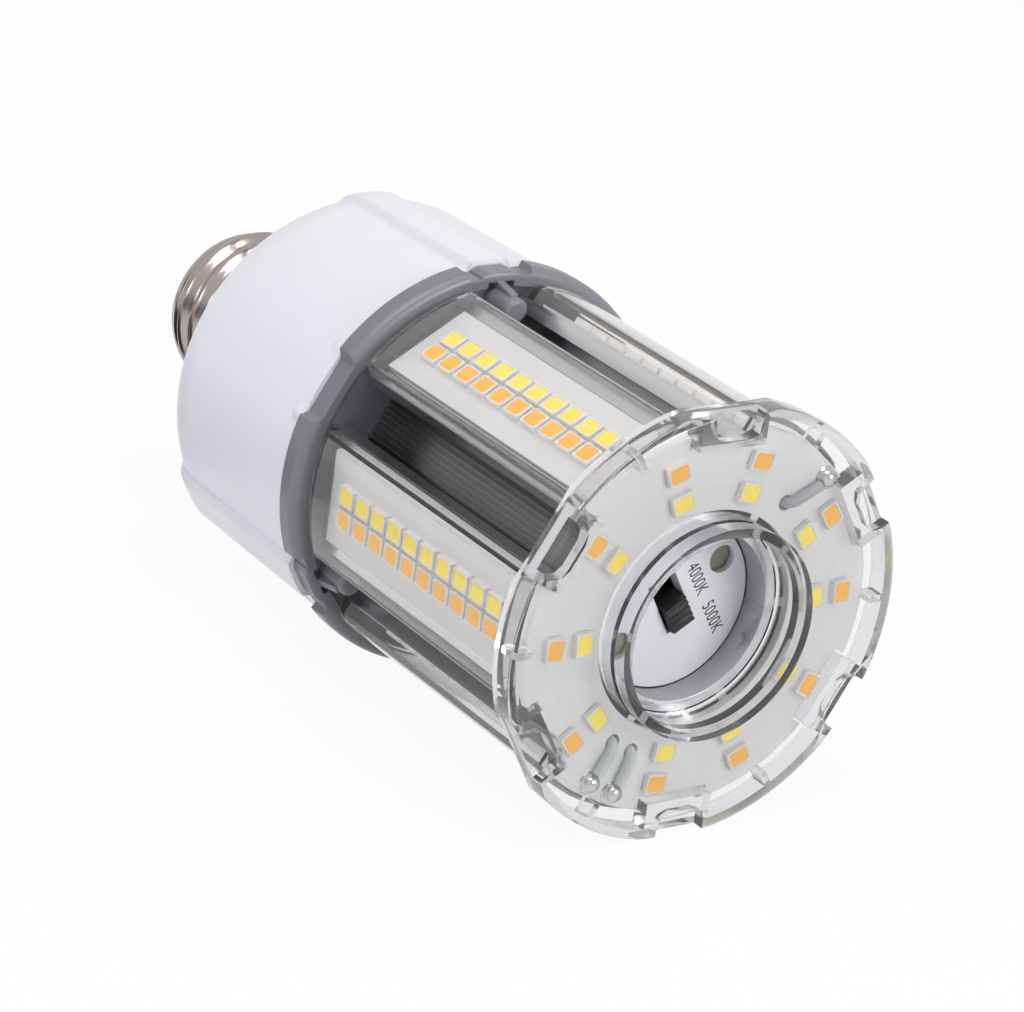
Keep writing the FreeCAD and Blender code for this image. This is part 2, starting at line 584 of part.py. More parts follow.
def front_cap():
    """The clear cap: six lobes, a notch with a ledge at each gap, and a tube in the middle."""
    body = new_body("front_cap")
    skirt_rear = "(sizes.cap_face - sizes.cap_skirt)"
    disc = new_sketch(body, "cap_disc", offset=skirt_rear)
    ring(disc, "sizes.cap_rad")
    base = pad(body, disc, "sizes.cap_skirt")
    edge = round_edge(value_of("sizes.cap_rad"), value_of("sizes.cap_face"))
    rounded(body, base, edge, "sizes.cap_round", "cap_edge")
    inside = new_sketch(body, "cap_inside", offset="sizes.cap_face - sizes.cap_wall")
    ring(inside, "sizes.cap_rad - sizes.cap_wall")
    pocket(body, inside, "sizes.cap_skirt")

    half = "(sizes.notch_half + sizes.cap_wall)"
    rim = "(sizes.cap_rad - sizes.cap_wall / 2)"
    wall = new_sketch(body, "cap_notch_wall", offset="sizes.cap_lift")
    slab(wall, "%s - sizes.cap_wall" % NOTCH_DIST, rim, "-%s" % half, half)
    walls = pad(body, wall, "sizes.cap_face - sizes.cap_wall / 2 - sizes.cap_lift")
    ledge_front = "(sizes.cap_face - sizes.ledge_drop)"
    ledge = new_sketch(body, "cap_ledge", offset="%s - sizes.ledge_thick" % ledge_front)
    slab(ledge, NOTCH_DIST, rim, "-sizes.notch_half", "sizes.notch_half")
    ledges = pad(body, ledge, "sizes.ledge_thick + 1")
    leg = new_sketch(body, "cap_legs",
                     offset="%s - sizes.ledge_thick - sizes.ledge_leg" % ledge_front)
    for side in ("sizes.notch_half", "-sizes.notch_half"):
        slab(leg, "%s - sizes.leg_deep" % LEDGE_DIST, rim,
             "%s - sizes.leg_half" % side, "%s + sizes.leg_half" % side)
    legs = pad(body, leg, "sizes.ledge_thick + sizes.ledge_leg + 1")
    around(body, [walls, ledges, legs], SIDES)
    notch = new_sketch(body, "cap_notch", offset="sizes.cap_face")
    corner = "sizes.notch_round * (1 - cos(45 deg))"
    inner, outer, side = NOTCH_DIST, "sizes.cap_rad + 2", "sizes.notch_half"
    outline(notch, [
        (outer, "-%s" % side), (outer, side),
        ("%s + sizes.notch_round" % inner, side),
        ("%s + %s" % (inner, corner), "%s - %s" % (side, corner)),
        (inner, "%s - sizes.notch_round" % side),
        (inner, "-(%s - sizes.notch_round)" % side),
        ("%s + %s" % (inner, corner), "-(%s - %s)" % (side, corner)),
        ("%s + sizes.notch_round" % inner, "-%s" % side)])
    around(body, [pocket(body, notch, "sizes.ledge_drop")], SIDES)
    trim = new_sketch(body, "cap_trim", offset="sizes.cap_face + 1")
    lobe_end = "sqrt(sizes.cap_rad * sizes.cap_rad - sizes.lobe_start * sizes.lobe_start)"
    outline(trim, [(LEDGE_DIST, "-sizes.notch_half"), (lobe_end, "-sizes.lobe_start"),
                   (outer, "-(sizes.lobe_start + 0.8)"), (outer, "(sizes.lobe_start + 0.8)"),
                   (lobe_end, "sizes.lobe_start"), (LEDGE_DIST, "sizes.notch_half")])
    around(body, [pocket(body, trim, "sizes.cap_skirt + sizes.ledge_leg + 4")], SIDES)

    stop = new_sketch(body, "cap_stop", offset="sizes.cap_gap + 0.2")
    slab(stop, "%s + sizes.cap_gap" % RING_BOARD_RAD, rim, "-0.5", "0.5")
    stops = pad(body, stop, "sizes.cap_face - sizes.cap_wall / 2 - sizes.cap_gap - 0.2")
    stop.setExpression("AttachmentOffset.Rotation.Angle", "30")
    around(body, [stops], SIDES)

    tube = new_sketch(body, "cap_tube", offset="sizes.cap_gap")
    ring(tube, "sizes.tube_bore_rad + sizes.tube_wall")
    pad(body, tube, "sizes.cap_face + sizes.tube_proud - sizes.cap_gap")
    bore = new_sketch(body, "cap_bore", offset="sizes.cap_face + sizes.tube_proud")
    ring(bore, "sizes.tube_bore_rad")
    pocket(body, bore, "sizes.cap_face + sizes.tube_proud")


def collar():
    """The grey collar between the heat sink and the housing, with flats, lugs and posts."""
    body = new_body("collar")
    band = new_sketch(body, "collar_band", offset=COLLAR_REAR)
    ring(band, "sizes.band_rad")
    pad(body, band, "sizes.band_len")
    front = "(%s + sizes.band_len)" % COLLAR_REAR
    flat = new_sketch(body, "collar_flat", offset=front)
    outer = "(sizes.band_rad + 1)"
    slope = "(sizes.flat_half + %s - sizes.flat_dist)" % outer
    outline(flat, [turned("sizes.flat_dist", "-sizes.flat_half", 60),
                   turned(outer, "-%s" % slope, 60), turned(outer, slope, 60),
                   turned("sizes.flat_dist", "sizes.flat_half", 60)])
    around(body, [pocket(body, flat, "sizes.band_len")], 3)

    nick = new_sketch(body, "collar_nick", offset=front)
    low, high = "sizes.lug_half", "(sizes.lug_half + sizes.nick_wide)"
    bottom = "(sizes.band_rad - sizes.nick_depth)"
    mouth = "(sizes.band_rad + 0.3)"
    outline(nick, [(bottom, "-%s" % high), (mouth, "-(%s + 0.8)" % high),
                   (mouth, "(%s + 0.8)" % high), (bottom, high)])
    around(body, [pocket(body, nick, "sizes.band_len")], 3)
    lug = new_sketch(body, "collar_lug", offset=COLLAR_REAR)
    outline(lug, [("sizes.collar_bore_rad", "-%s" % low),
                  ("sizes.lug_rad - 0.5", "-%s" % low), ("sizes.lug_rad", "-(%s - 1.2)" % low),
                  ("sizes.lug_rad", "%s - 1.2" % low), ("sizes.lug_rad - 0.5", low),
                  ("sizes.collar_bore_rad", low)])
    around(body, [pad(body, lug, "sizes.band_len")], 3)

    hollow = new_sketch(body, "collar_hollow", offset=front)
    ring(hollow, "sizes.collar_bore_rad")
    pocket(body, hollow, "sizes.band_len - sizes.bulkhead")
    under = new_sketch(body, "collar_under_lug", offset=front)
    slab(under, "(sizes.collar_bore_rad - 1)", "(sizes.lug_rad - sizes.lug_roof)",
         "-(%s - 1)" % low, "(%s - 1)" % low)
    around(body, [pocket(body, under, "sizes.band_len - sizes.bulkhead")], 3)

    web = new_sketch(body, "collar_web", offset=SINK_REAR)
    slab(web, "sizes.post_dist", "(sizes.lug_rad - sizes.lug_roof / 2)",
         "-sizes.web_thick / 2", "sizes.web_thick / 2")
    around(body, [pad(body, web, "sizes.post_len - 1.2")], 3)
    edge = new_sketch(body, "collar_edge", "XZ_Plane")
    arc = [("sizes.band_rad - sizes.band_round * (1 - cos(%d deg))" % angle,
            "%s - sizes.band_round * (1 - sin(%d deg))" % (front, angle))
           for angle in range(0, 91, 15)]
    tip = "(sizes.post_len - sizes.sink_len)"
    outline(edge, arc + [
        ("sizes.lug_rad - sizes.lug_roof", front),
        ("sizes.post_dist + sizes.post_rad + 0.05", tip),
        (outer, tip), (outer, "%s - sizes.band_round" % front)])
    spun(body, edge, "PartDesign::Groove")
    post = new_sketch(body, "collar_post", offset=SINK_REAR)
    ring(post, "sizes.post_rad", "sizes.post_dist", "0")
    posts = around(body, [pad(body, post, "sizes.post_len")], 3)
    rounded(body, posts, round_edge(value_of("sizes.post_rad"), value_of(tip)),
            "sizes.post_rad * 0.4", "collar_post_tips")

    lip = new_sketch(body, "collar_lip", offset="%s - sizes.lip_len" % COLLAR_REAR)
    lip_rad = "(sizes.housing_rad - sizes.housing_wall - sizes.seat_gap)"
    ring(lip, lip_rad)
    ring(lip, "%s - sizes.lip_wall" % lip_rad)
    pad(body, lip, "sizes.lip_len")
    holes = new_sketch(body, "collar_holes", offset=SINK_REAR)
    ring(holes, "sizes.hatch_rad")
    for angle in LEAD_ANGLES.values():
        ring(holes, "sizes.lead_hole_rad", *turned("sizes.lead_hole_dist", "0", angle))
    for angle in SCREW_ANGLES:
        ring(holes, "sizes.tap_rad + 0.3", *turned("sizes.boss_dist", "0", angle))
    pocket(body, holes, "sizes.bulkhead")


def driver_housing():
    """The white housing: a slightly tapered cup with a rounded rear rim, ribs and a neck."""
    body = new_body("driver_housing")
    rear_rad = "(sizes.housing_rad - sizes.housing_draft)"
    cup = new_sketch(body, "housing_cup", "XZ_Plane")
    outline(cup, [("0", COLLAR_REAR), ("sizes.housing_rad", COLLAR_REAR),
                  (rear_rad, HOUSING_REAR), ("0", HOUSING_REAR)])
    turned_cup = spun(body, cup)
    rear = value_of(HOUSING_REAR)
    rounded(body, turned_cup, round_edge(value_of(rear_rad), rear), "sizes.rim_round",
            "housing_rim")

    rib = new_sketch(body, "housing_rib", "XZ_Plane")
    outline(rib, [("sizes.housing_rad / 2", COLLAR_REAR),
                  ("sizes.housing_rad + sizes.rib_high", COLLAR_REAR),
                  ("%s + sizes.rib_high" % rear_rad, HOUSING_REAR),
                  ("sizes.housing_rad / 2", HOUSING_REAR)])
    rib_turn = spun(body, rib)
    rib_turn.Midplane = True
    rib_turn.setExpression("Angle", "2 * asin(sizes.rib_wide / 2 / sizes.housing_rad)")
    ribs = around(body, [rib_turn], 3)
    rib_rad = value_of("%s + sizes.rib_high" % rear_rad)
    rounded(body, ribs, round_edge(rib_rad, rear), "sizes.rim_round + sizes.rib_high / 2",
            "housing_rib_ends")

    tab = new_sketch(body, "housing_tabs", offset="%s - sizes.tab_long" % COLLAR_REAR)
    for angle in TAB_ANGLES:
        ring(tab, "sizes.tab_rad",
             *turned("sizes.housing_rad + sizes.tab_high - sizes.tab_rad", "0", angle))
    around(body, [pad(body, tab, "sizes.tab_long")], 3)

    neck = new_sketch(body, "housing_neck", offset="%s - sizes.neck_len" % HOUSING_REAR)
    ring(neck, "sizes.neck_rad")
    pad(body, neck, "sizes.neck_len + sizes.housing_wall")
    shoulder = new_sketch(body, "housing_shoulder",
                          offset="%s - sizes.shoulder_len" % HOUSING_REAR)
    ring(shoulder, "sizes.crest_rad + sizes.shoulder_past")
    pad(body, shoulder, "sizes.shoulder_len + sizes.housing_wall / 2")
    hollow = new_sketch(body, "housing_hollow", "XZ_Plane")
    neck_bore = "(sizes.neck_rad - sizes.neck_wall)"
    inner = "(%s + sizes.housing_wall)" % HOUSING_REAR
    side = "(%s - sizes.housing_wall)" % rear_rad
    bend = "(sizes.rim_round - sizes.housing_wall)"
    corner = [("%s - %s * (1 - cos(%d deg))" % (side, bend, angle),
               "%s + %s * (1 - sin(%d deg))" % (inner, bend, angle))
              for angle in range(0, 91, 15)]
    neck_end = "%s - sizes.neck_len" % HOUSING_REAR
    outline(hollow, [("0", COLLAR_REAR), ("sizes.housing_rad - sizes.housing_wall", COLLAR_REAR)]
            + corner + [(neck_bore, inner), (neck_bore, neck_end), ("0", neck_end)])
    spun(body, hollow, "PartDesign::Groove")


def screw_shell():
    """The E26 screw shell, its thread drawn as rounded crests one pitch apart."""
    barrel = cylinder("shell_barrel", "sizes.root_rad", "sizes.shell_len - sizes.shell_turn_in",
                      "%s + sizes.shell_turn_in" % SHELL_REAR)
    end = cone("shell_end", "sizes.shell_mouth_rad + 0.4", "sizes.root_rad",
               "sizes.shell_turn_in", SHELL_REAR)
    solids = [barrel, end]
    for turn in range(THREADS):
        crest = doc.addObject("Part::Torus", "shell_crest_%d" % (turn + 1))
        crest.setExpression("Radius1", "sizes.crest_rad - sizes.crest_round")
        crest.setExpression("Radius2", "sizes.crest_round")
        crest.setExpression("Placement.Base.z",
                            "%s + sizes.shell_turn_in + (%d + 0.6) * sizes.thread_pitch"
                            % (SHELL_REAR, turn))
        solids.append(crest)
    outside = joined("shell_outside", solids)
    bore = cylinder("shell_bore", "sizes.shell_bore_rad",
                    "sizes.shell_len - sizes.shell_turn_in / 2",
                    "%s + sizes.shell_turn_in" % SHELL_REAR)
    mouth = cylinder("shell_mouth", "sizes.shell_mouth_rad", "sizes.shell_len", SHELL_REAR)
    keep(less("screw_shell", outside, joined("shell_inside", [bore, mouth])), "screw_shell")


def base_end():
    """The insulator behind the screw shell and the end contact in its middle."""
    tip = "(%s - sizes.cone_len)" % SHELL_REAR
    body = cone("insulator_cone", "sizes.button_rad + 0.5", "sizes.shell_mouth_rad - 0.1",
                "sizes.cone_len", tip)
    plug = cylinder("insulator_plug", "sizes.shell_mouth_rad - 0.1", "sizes.shell_turn_in + 1",
                    SHELL_REAR)
    flange = cylinder("insulator_flange", "sizes.shell_bore_rad - 0.1", "1.6",
                      "%s + sizes.shell_turn_in + 0.05" % SHELL_REAR)
    hole = cylinder("insulator_hole", "sizes.button_stem_rad + 0.1", "3 * sizes.cone_len", tip)
    solid = joined("insulator_solid", [body, plug, flange])
    keep(less("base_insulator", solid, hole), "base_insulator")

    contact = new_body("end_contact")
    button = new_sketch(contact, "contact_button", "XZ_Plane")
    stem_top = "(%s + sizes.shell_turn_in + 1.6)" % SHELL_REAR
    outline(button, [
        ("0", "%s - sizes.button_high" % tip),
        ("sizes.button_rad * 0.55", "%s - sizes.button_high" % tip),
        ("sizes.button_rad * 0.88", "%s - sizes.button_high * 0.6" % tip),
        ("sizes.button_rad", tip), ("sizes.button_stem_rad", tip),
        ("sizes.button_stem_rad", stem_top), ("0", stem_top)])
    spun(contact, button)


def switch_plate():
    """The white plate in the hub, with the switch slot, two screw recesses and a skirt."""
    body = new_body("switch_plate", SWITCH_ANGLE)
    face = "(-sizes.plate_depth)"
    back = "(-sizes.plate_depth - sizes.plate_thick)"
    outer = "(sizes.hub_bore_rad - sizes.plate_gap)"
    disc = new_sketch(body, "plate_disc", offset=back)
    ring(disc, outer)
    pad(body, disc, "sizes.plate_thick")
    skirt = new_sketch(body, "plate_skirt_ring", offset="%s - sizes.plate_skirt" % back)
    ring(skirt, outer)
    ring(skirt, "%s - sizes.plate_skirt_wall" % outer)
    pad(body, skirt, "sizes.plate_skirt")
    slot = new_sketch(body, "plate_slot", offset=face)
    slab(slot, "-sizes.slot_long / 2", "sizes.slot_long / 2",
         "-sizes.slot_wide / 2", "sizes.slot_wide / 2")
    pocket(body, slot, "sizes.plate_thick")
    pillars = new_sketch(body, "plate_pillars", offset="%s - sizes.switch_high" % back)
    cups = new_sketch(body, "plate_cups", offset=face)
    holes = new_sketch(body, "plate_holes", offset=face)
    for angle in CUP_ANGLES:
        spot = turned("sizes.cup_dist", "0", angle - SWITCH_ANGLE)
        ring(pillars, "sizes.cup_rad + 0.4", *spot)
        ring(cups, "sizes.cup_rad", *spot)
        ring(holes, "sizes.small_screw_rad + 0.1", *spot)
    pad(body, pillars, "sizes.switch_high")
    pocket(body, cups, "sizes.cup_depth")
    pocket(body, holes, "sizes.plate_thick + sizes.switch_high")


def slide_switch():
    """The switch body behind the plate, the small board under it, and the knob that slides."""
    back = "(-sizes.plate_depth - sizes.plate_thick)"
    switch = new_body("switch_body", SWITCH_ANGLE)
    case = new_sketch(switch, "switch_case", offset="%s - sizes.switch_high" % back)
    slab(case, "-sizes.switch_long / 2", "sizes.switch_long / 2",
         "-sizes.switch_wide / 2", "sizes.switch_wide / 2")
    pad(switch, case, "sizes.switch_high")
    well = new_sketch(switch, "switch_well", offset=back)
    slab(well, "-sizes.slot_long / 2", "sizes.slot_long / 2",
         "-sizes.slot_wide / 2", "sizes.slot_wide / 2")
    pocket(switch, well, "sizes.knob_sunk + sizes.knob_gap")

    board = new_body("switch_board", SWITCH_ANGLE)
    disc = new_sketch(board, "switch_board_disc",
                      offset="%s - sizes.switch_high - sizes.board_thick" % back)
    ring(disc, "sizes.hub_bore_rad - sizes.plate_gap - sizes.plate_skirt_wall - 0.2")
    for angle in CUP_ANGLES:
        ring(disc, "sizes.small_screw_rad + 0.1",
             *turned("sizes.cup_dist", "0", angle - SWITCH_ANGLE))
    pad(board, disc, "sizes.board_thick")

    knob = new_body("switch_knob", SWITCH_ANGLE)
    foot = new_sketch(knob, "knob_foot", offset="%s - sizes.knob_sunk" % back)
    start = "(sizes.knob_gap - sizes.slot_long / 2)"
    side = "(sizes.slot_wide / 2 - sizes.knob_gap)"
    slab(foot, start, "%s + sizes.knob_long" % start, "-%s" % side, side)
    pad(knob, foot, "sizes.knob_sunk + sizes.plate_thick + sizes.knob_proud")
    grip = new_sketch(knob, "knob_grip", "XZ_Plane", offset="-%s - 1" % side)
    top = "(sizes.knob_proud - sizes.plate_depth)"
    for groove in range(3):
        middle = "%s + sizes.knob_long * %d / 4" % (start, groove + 1)
        outline(grip, [("%s - 0.28" % middle, "%s + 0.1" % top), (middle, "%s - 0.5" % top),
                       ("%s + 0.28" % middle, "%s + 0.1" % top)])
    pocket(knob, grip, "2 * %s + 2" % side)


def screw(name, shank, head, high, length, seat, distance, angle):
    """A pan-head screw whose head sits on a seat and whose shank points along one way."""
    stem = cylinder(name + "_shank", shank, length, seat[0], distance, angle)
    cap = cylinder(name + "_head", head, high, seat[1], distance, angle)
    return joined(name, [stem, cap])


def screws():
    """The two small screws of the switch plate and the three that hold the collar."""
    small = []
    for number, angle in enumerate(CUP_ANGLES, 1):
        reach = "(sizes.plate_thick - sizes.cup_depth + sizes.switch_high + sizes.board_thick)"
        floor = "(-sizes.plate_depth - sizes.cup_depth)"
        small.append(screw("plate_screw_%d" % number, "sizes.small_screw_rad",
                           "sizes.small_head_rad", "sizes.small_head_high", reach,
                           ("%s - %s" % (floor, reach), floor), "sizes.cup_dist", angle))
    large = []
    for number, angle in enumerate(SCREW_ANGLES, 1):
        large.append(screw("collar_screw_%d" % number, "sizes.screw_rad", "sizes.head_rad",
                           "sizes.head_high", "sizes.bulkhead + sizes.screw_bite",
                           (COLLAR_REAR, "%s - sizes.head_high" % COLLAR_REAR),
                           "sizes.boss_dist", angle))
    for label, group in (("plate_screws", small), ("collar_screws", large)):
        keep(grouped(label, *group), label)


def tube_along(points, radius, bend):
    """A round tube along straight runs, joined by tangent arcs of one radius."""
    edges = []
    start = points[0]
    for before, corner, after in zip(points, points[1:], points[2:]):
        arrive = (corner - before).normalize()
        leave = (after - corner).normalize()
        half_turn = arrive.getAngle(leave) / 2
        reach = bend * math.tan(half_turn)
        first = corner - arrive * reach
        last = corner + leave * reach
        middle = corner + (leave - arrive).normalize() * (bend / math.cos(half_turn) - bend)
        edges.append(Part.makeLine(start, first))
        edges.append(Part.Arc(first, middle, last).toShape())
        start = last
    edges.append(Part.makeLine(start, points[-1]))
    path = Part.Wire(edges)
    section = Part.Wire([Part.makeCircle(radius, points[0], points[1] - points[0])])
    return path.makePipeShell([section], True, False)


def leads():
    """Three leads from the driver, through the heat sink and the front board, to their joints."""
    board = value_of("sizes.board_thick")
    radius = value_of("sizes.lead_rad")
    hole = value_of("sizes.lead_hole_dist")
    end = value_of("%s - 2.5" % COLLAR_REAR)
    joints = []
    for name, angle in LEAD_ANGLES.items():
        out = Rotation(Vector(0, 0, 1), angle)
        swing = Rotation(Vector(0, 0, 1), angle + BLOB_SWING[name])
        over = board + radius + 0.05
        joint = swing.multVec(Vector(value_of("%s - sizes.blob_in" % RING_BOARD_RAD), 0, 0))
        bend_spot = out.multVec(Vector(hole, 0, over))
        inward = (bend_spot - Vector(joint.x, joint.y, over)).normalize()
        start = Vector(joint.x, joint.y, over) + inward * value_of("sizes.blob_rad")
        lead = doc.addObject("Part::Feature", name)
        lead.Shape = tube_along([start, bend_spot, out.multVec(Vector(hole, 0, end))],
                                radius, 1.9 * radius)
        keep(lead, name)
        blob = Part.makeSphere(value_of("sizes.blob_rad"), joint + Vector(0, 0, board),
                               Vector(0, 0, 1), 0, 90, 360)
        joints.append(blob)
    solder = doc.addObject("Part::Feature", "solder_joints")
    solder.Shape = Part.makeCompound(joints)
    keep(solder, "solder_joints")


def driver():
    """The driver board inside the housing, the pieces on it and its two supply leads."""
    front = "(%s - sizes.lip_len - sizes.driver_gap)" % COLLAR_REAR
    inner = "(sizes.housing_rad - sizes.housing_draft - sizes.housing_wall - sizes.driver_gap)"
    body = new_body("driver_board")
    face = new_sketch(body, "driver_face", offset="%s - sizes.driver_len" % front)
    drop = "sizes.driver_drop"
    half = "sqrt(pow(%s; 2) - pow(%s + sizes.driver_thick; 2))" % (inner, drop)
    slab(face, "-(%s + sizes.driver_thick)" % drop, "-%s" % drop, "-%s" % half, half)
    pad(body, face, "sizes.driver_len")

    deck = "-" + drop
    parts = "(%s - sizes.parts_front)" % front

    def box(name, long_z, wide_y, high_x, side, start):
        item = doc.addObject("Part::Box", name)
        item.setExpression("Length", high_x)
        item.setExpression("Width", wide_y)
        item.setExpression("Height", long_z)
        item.setExpression("Placement.Base.x", deck)
        item.setExpression("Placement.Base.y", "%s - (%s) / 2" % (side, wide_y))
        item.setExpression("Placement.Base.z", "%s - (%s)" % (start, long_z))
        return item

    core = box("transformer_core", "sizes.core_long", "sizes.core_wide", "sizes.core_high",
               "-sizes.core_side", parts)
    coil = box("transformer_coil", "sizes.core_long + 2 * sizes.coil_past",
               "sizes.core_wide - 2 * sizes.coil_less", "sizes.core_high - sizes.coil_less",
               "-sizes.core_side", "%s + sizes.coil_past" % parts)
    keep(joined("driver_transformer", [core, coil]), "driver_transformer")
    can = cylinder("capacitor_can", "sizes.can_rad", "sizes.can_long",
                   "%s - sizes.can_long" % parts)
    can.setExpression("Placement.Base.x", "%s + sizes.can_rad" % deck)
    can.setExpression("Placement.Base.y", "sizes.can_side")
    keep(grouped("driver_capacitor", can), "driver_capacitor")
    choke = cylinder("choke_drum", "sizes.choke_rad", "sizes.choke_high")
    choke.Placement.Rotation = Rotation(Vector(0, 1, 0), 90)
    choke.setExpression("Placement.Base.x", deck)
    choke.setExpression("Placement.Base.y", "sizes.choke_side")
    choke.setExpression("Placement.Base.z", "%s - sizes.chip_long - sizes.choke_rad" % parts)
    keep(grouped("driver_choke", choke), "driver_choke")
    chip_size = ("sizes.chip_long", "sizes.chip_wide", "sizes.chip_high")
    rectifier = box("rectifier", *chip_size, "sizes.choke_side",
                    "%s + sizes.chip_wide" % parts)
    control = box("control_chip", *chip_size, "-sizes.can_side",
                  "%s + sizes.coil_past + sizes.driver_gap + sizes.chip_long" % parts)
    keep(grouped("driver_chips", rectifier, control), "driver_chips")

    radius = value_of("sizes.lead_rad")
    under = value_of("-(%s + sizes.driver_thick + sizes.lead_rad)" % drop)
    land = value_of("sizes.solder_land")
    board_end = value_of("%s - sizes.driver_len" % front)
    throat = value_of("%s - sizes.rim_round" % HOUSING_REAR)
    middle = value_of(HOUSING_REAR)
    neck_side = value_of("sizes.neck_rad - sizes.neck_wall - sizes.lead_rad - 0.2")
    supply = doc.addObject("Part::Feature", "supply_lead")
    supply.Shape = tube_along([Vector(under, land / 2, board_end + land),
                               Vector(under, land / 2, board_end - land),
                               Vector(0, 0, throat),
                               Vector(0, 0, value_of("%s + 1.6" % INSIDE_SHELL))],
                              radius, 6 * radius)
    keep(supply, "supply_lead")
    neck_end = value_of("%s - sizes.neck_len" % HOUSING_REAR)
    neutral = doc.addObject("Part::Feature", "return_lead")
    neutral.Shape = tube_along([Vector(under, -land, board_end + land),
                                Vector(under, -land, board_end - land / 2),
                                Vector(-neck_side, -land / 4, middle),
                                Vector(-neck_side, -land / 4, neck_end - 0.3)],
                               radius, 5 * radius)
    keep(neutral, "return_lead")


heat_sink()
for number, letter in enumerate(STRIP_LETTERS):
    facing = 30 + 60 * number
    strip_board(letter, facing)
    strip_cover(letter, facing)
    strip_lights(letter, facing)
front_board()
front_lights()
front_cap()
collar()
driver_housing()
screw_shell()
base_end()
switch_plate()
slide_switch()
screws()
leads()
driver()
doc.recompute()

for item in doc.Objects:
    if "Invalid" in item.State or "Error" in item.State:
        raise RuntimeError("%s failed: %s" % (item.Name, item.State))
for item in pieces:
    if item.Shape.isNull() or not item.Shape.isValid():
        raise RuntimeError("%s has no valid shape" % item.Label)

os.makedirs("parts", exist_ok=True)
for item in pieces:
    item.Shape.exportStep("parts/%s.step" % item.Label)
    box = item.Shape.BoundBox
    print("%-20s solids %2d  volume %8.1f  x %.1f..%.1f  y %.1f..%.1f  z %.1f..%.1f" % (
        item.Label, len(item.Shape.Solids), item.Shape.Volume,
        box.XMin, box.XMax, box.YMin, box.YMax, box.ZMin, box.ZMax))
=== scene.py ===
"""Studio scene of a corn LED bulb, laid out as an add-on and run as a script.

Sizes are in millimetres in the property groups and in metres in the meshes.  New pieces are drawn
in the bulb's own frame, with the bulb axis along Z, the light end at +Z and Z = 0 at the front of
the heat sink, and lay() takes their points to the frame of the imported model.
"""
import math
import bpy
import numpy as np
from bpy.props import FloatProperty, FloatVectorProperty, PointerProperty
from bpy.types import Operator, Panel, PropertyGroup
from mathutils import Matrix, Vector


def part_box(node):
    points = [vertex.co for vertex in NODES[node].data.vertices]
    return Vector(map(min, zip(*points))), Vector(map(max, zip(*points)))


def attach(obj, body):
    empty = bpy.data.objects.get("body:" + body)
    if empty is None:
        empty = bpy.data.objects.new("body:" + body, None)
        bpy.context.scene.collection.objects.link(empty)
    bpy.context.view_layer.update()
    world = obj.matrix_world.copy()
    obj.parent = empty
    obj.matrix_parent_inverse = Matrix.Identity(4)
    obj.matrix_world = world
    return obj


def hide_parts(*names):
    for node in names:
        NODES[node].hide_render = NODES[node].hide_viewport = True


bl_info = {
    "name": "Corn LED bulb",
    "version": (1, 0, 0),
    "blender": (4, 5, 0),
    "location": "3D View > Sidebar > Bulb",
    "description": "Dresses the packed bulb with lights, clear covers and finishes",
    "category": "Object",
}

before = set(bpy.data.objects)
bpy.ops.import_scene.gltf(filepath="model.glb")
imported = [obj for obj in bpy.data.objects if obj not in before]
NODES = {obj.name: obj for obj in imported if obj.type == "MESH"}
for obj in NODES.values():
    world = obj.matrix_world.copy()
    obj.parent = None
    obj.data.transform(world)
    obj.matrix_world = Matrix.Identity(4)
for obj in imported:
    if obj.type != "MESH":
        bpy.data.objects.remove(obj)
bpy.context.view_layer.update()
MM = 0.001
FRONT_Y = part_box("heat_sink")[0].y
SHELL_LOW, SHELL_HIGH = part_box("screw_shell")
AXIS_Z = (SHELL_LOW.z + SHELL_HIGH.z) / 2
STRIPS = "abcdef"
FIRST_STRIP, NEXT_STRIP = 30, 60    # degrees: where strip a faces, and the turn to the next one
PLATE_TURN = 30                     # degrees that the switch and its marks are turned


# ---- Sizes and colours that a user would change ----

class BulbSizes(PropertyGroup):
    """Sizes of the pieces that this scene adds, in millimetres."""
    package_long: FloatProperty(
        name="Package length", default=3.5, description="Length of one light package, mm")
    package_wide: FloatProperty(
        name="Package width", default=2.8, description="Width of one light package, mm")
    package_high: FloatProperty(
        name="Package height", default=0.95, description="Height of one light package, mm")
    window_share: FloatProperty(
        name="Window share", default=0.80, subtype="FACTOR", min=0.4, max=0.9,
        description="Share of a package's length and width that its glowing window takes")
    thread_pitch: FloatProperty(
        name="Thread pitch", default=3.63, description="Pitch of the base's thread, mm")
    thread_high: FloatProperty(
        name="Thread height", default=1.05, description="Root to crest of that thread, mm")
    housing_front: FloatProperty(
        name="Housing front", default=55.35, description="Heat sink's front to the housing, mm")
    housing_rad: FloatProperty(
        name="Housing radius", default=29.34, description="Radius of the housing's front, mm")
    housing_draft: FloatProperty(
        name="Housing draft", default=0.54, description="Radius lost towards its rear, mm")
    housing_long: FloatProperty(
        name="Housing length", default=37.8, description="Length of the housing's cup, mm")
    rim_round: FloatProperty(
        name="Rim rounding", default=8.0, description="Rounding of the rear rim, mm")
    rib_wide: FloatProperty(
        name="Rib width", default=6.4, description="Width of the housing's three ribs, mm")
    rib_high: FloatProperty(
        name="Rib height", default=1.0, description="Height of those ribs, mm")
    soft_edge: FloatProperty(
        name="Cap edge", default=0.3, description="Rounding of the clear cap's edges, mm")
    mark_high: FloatProperty(
        name="Mark height", default=2.1, description="Height of the marks by the switch, mm")
    solder_rad: FloatProperty(
        name="Solder radius", default=1.45, description="Radius of a solder joint, mm")


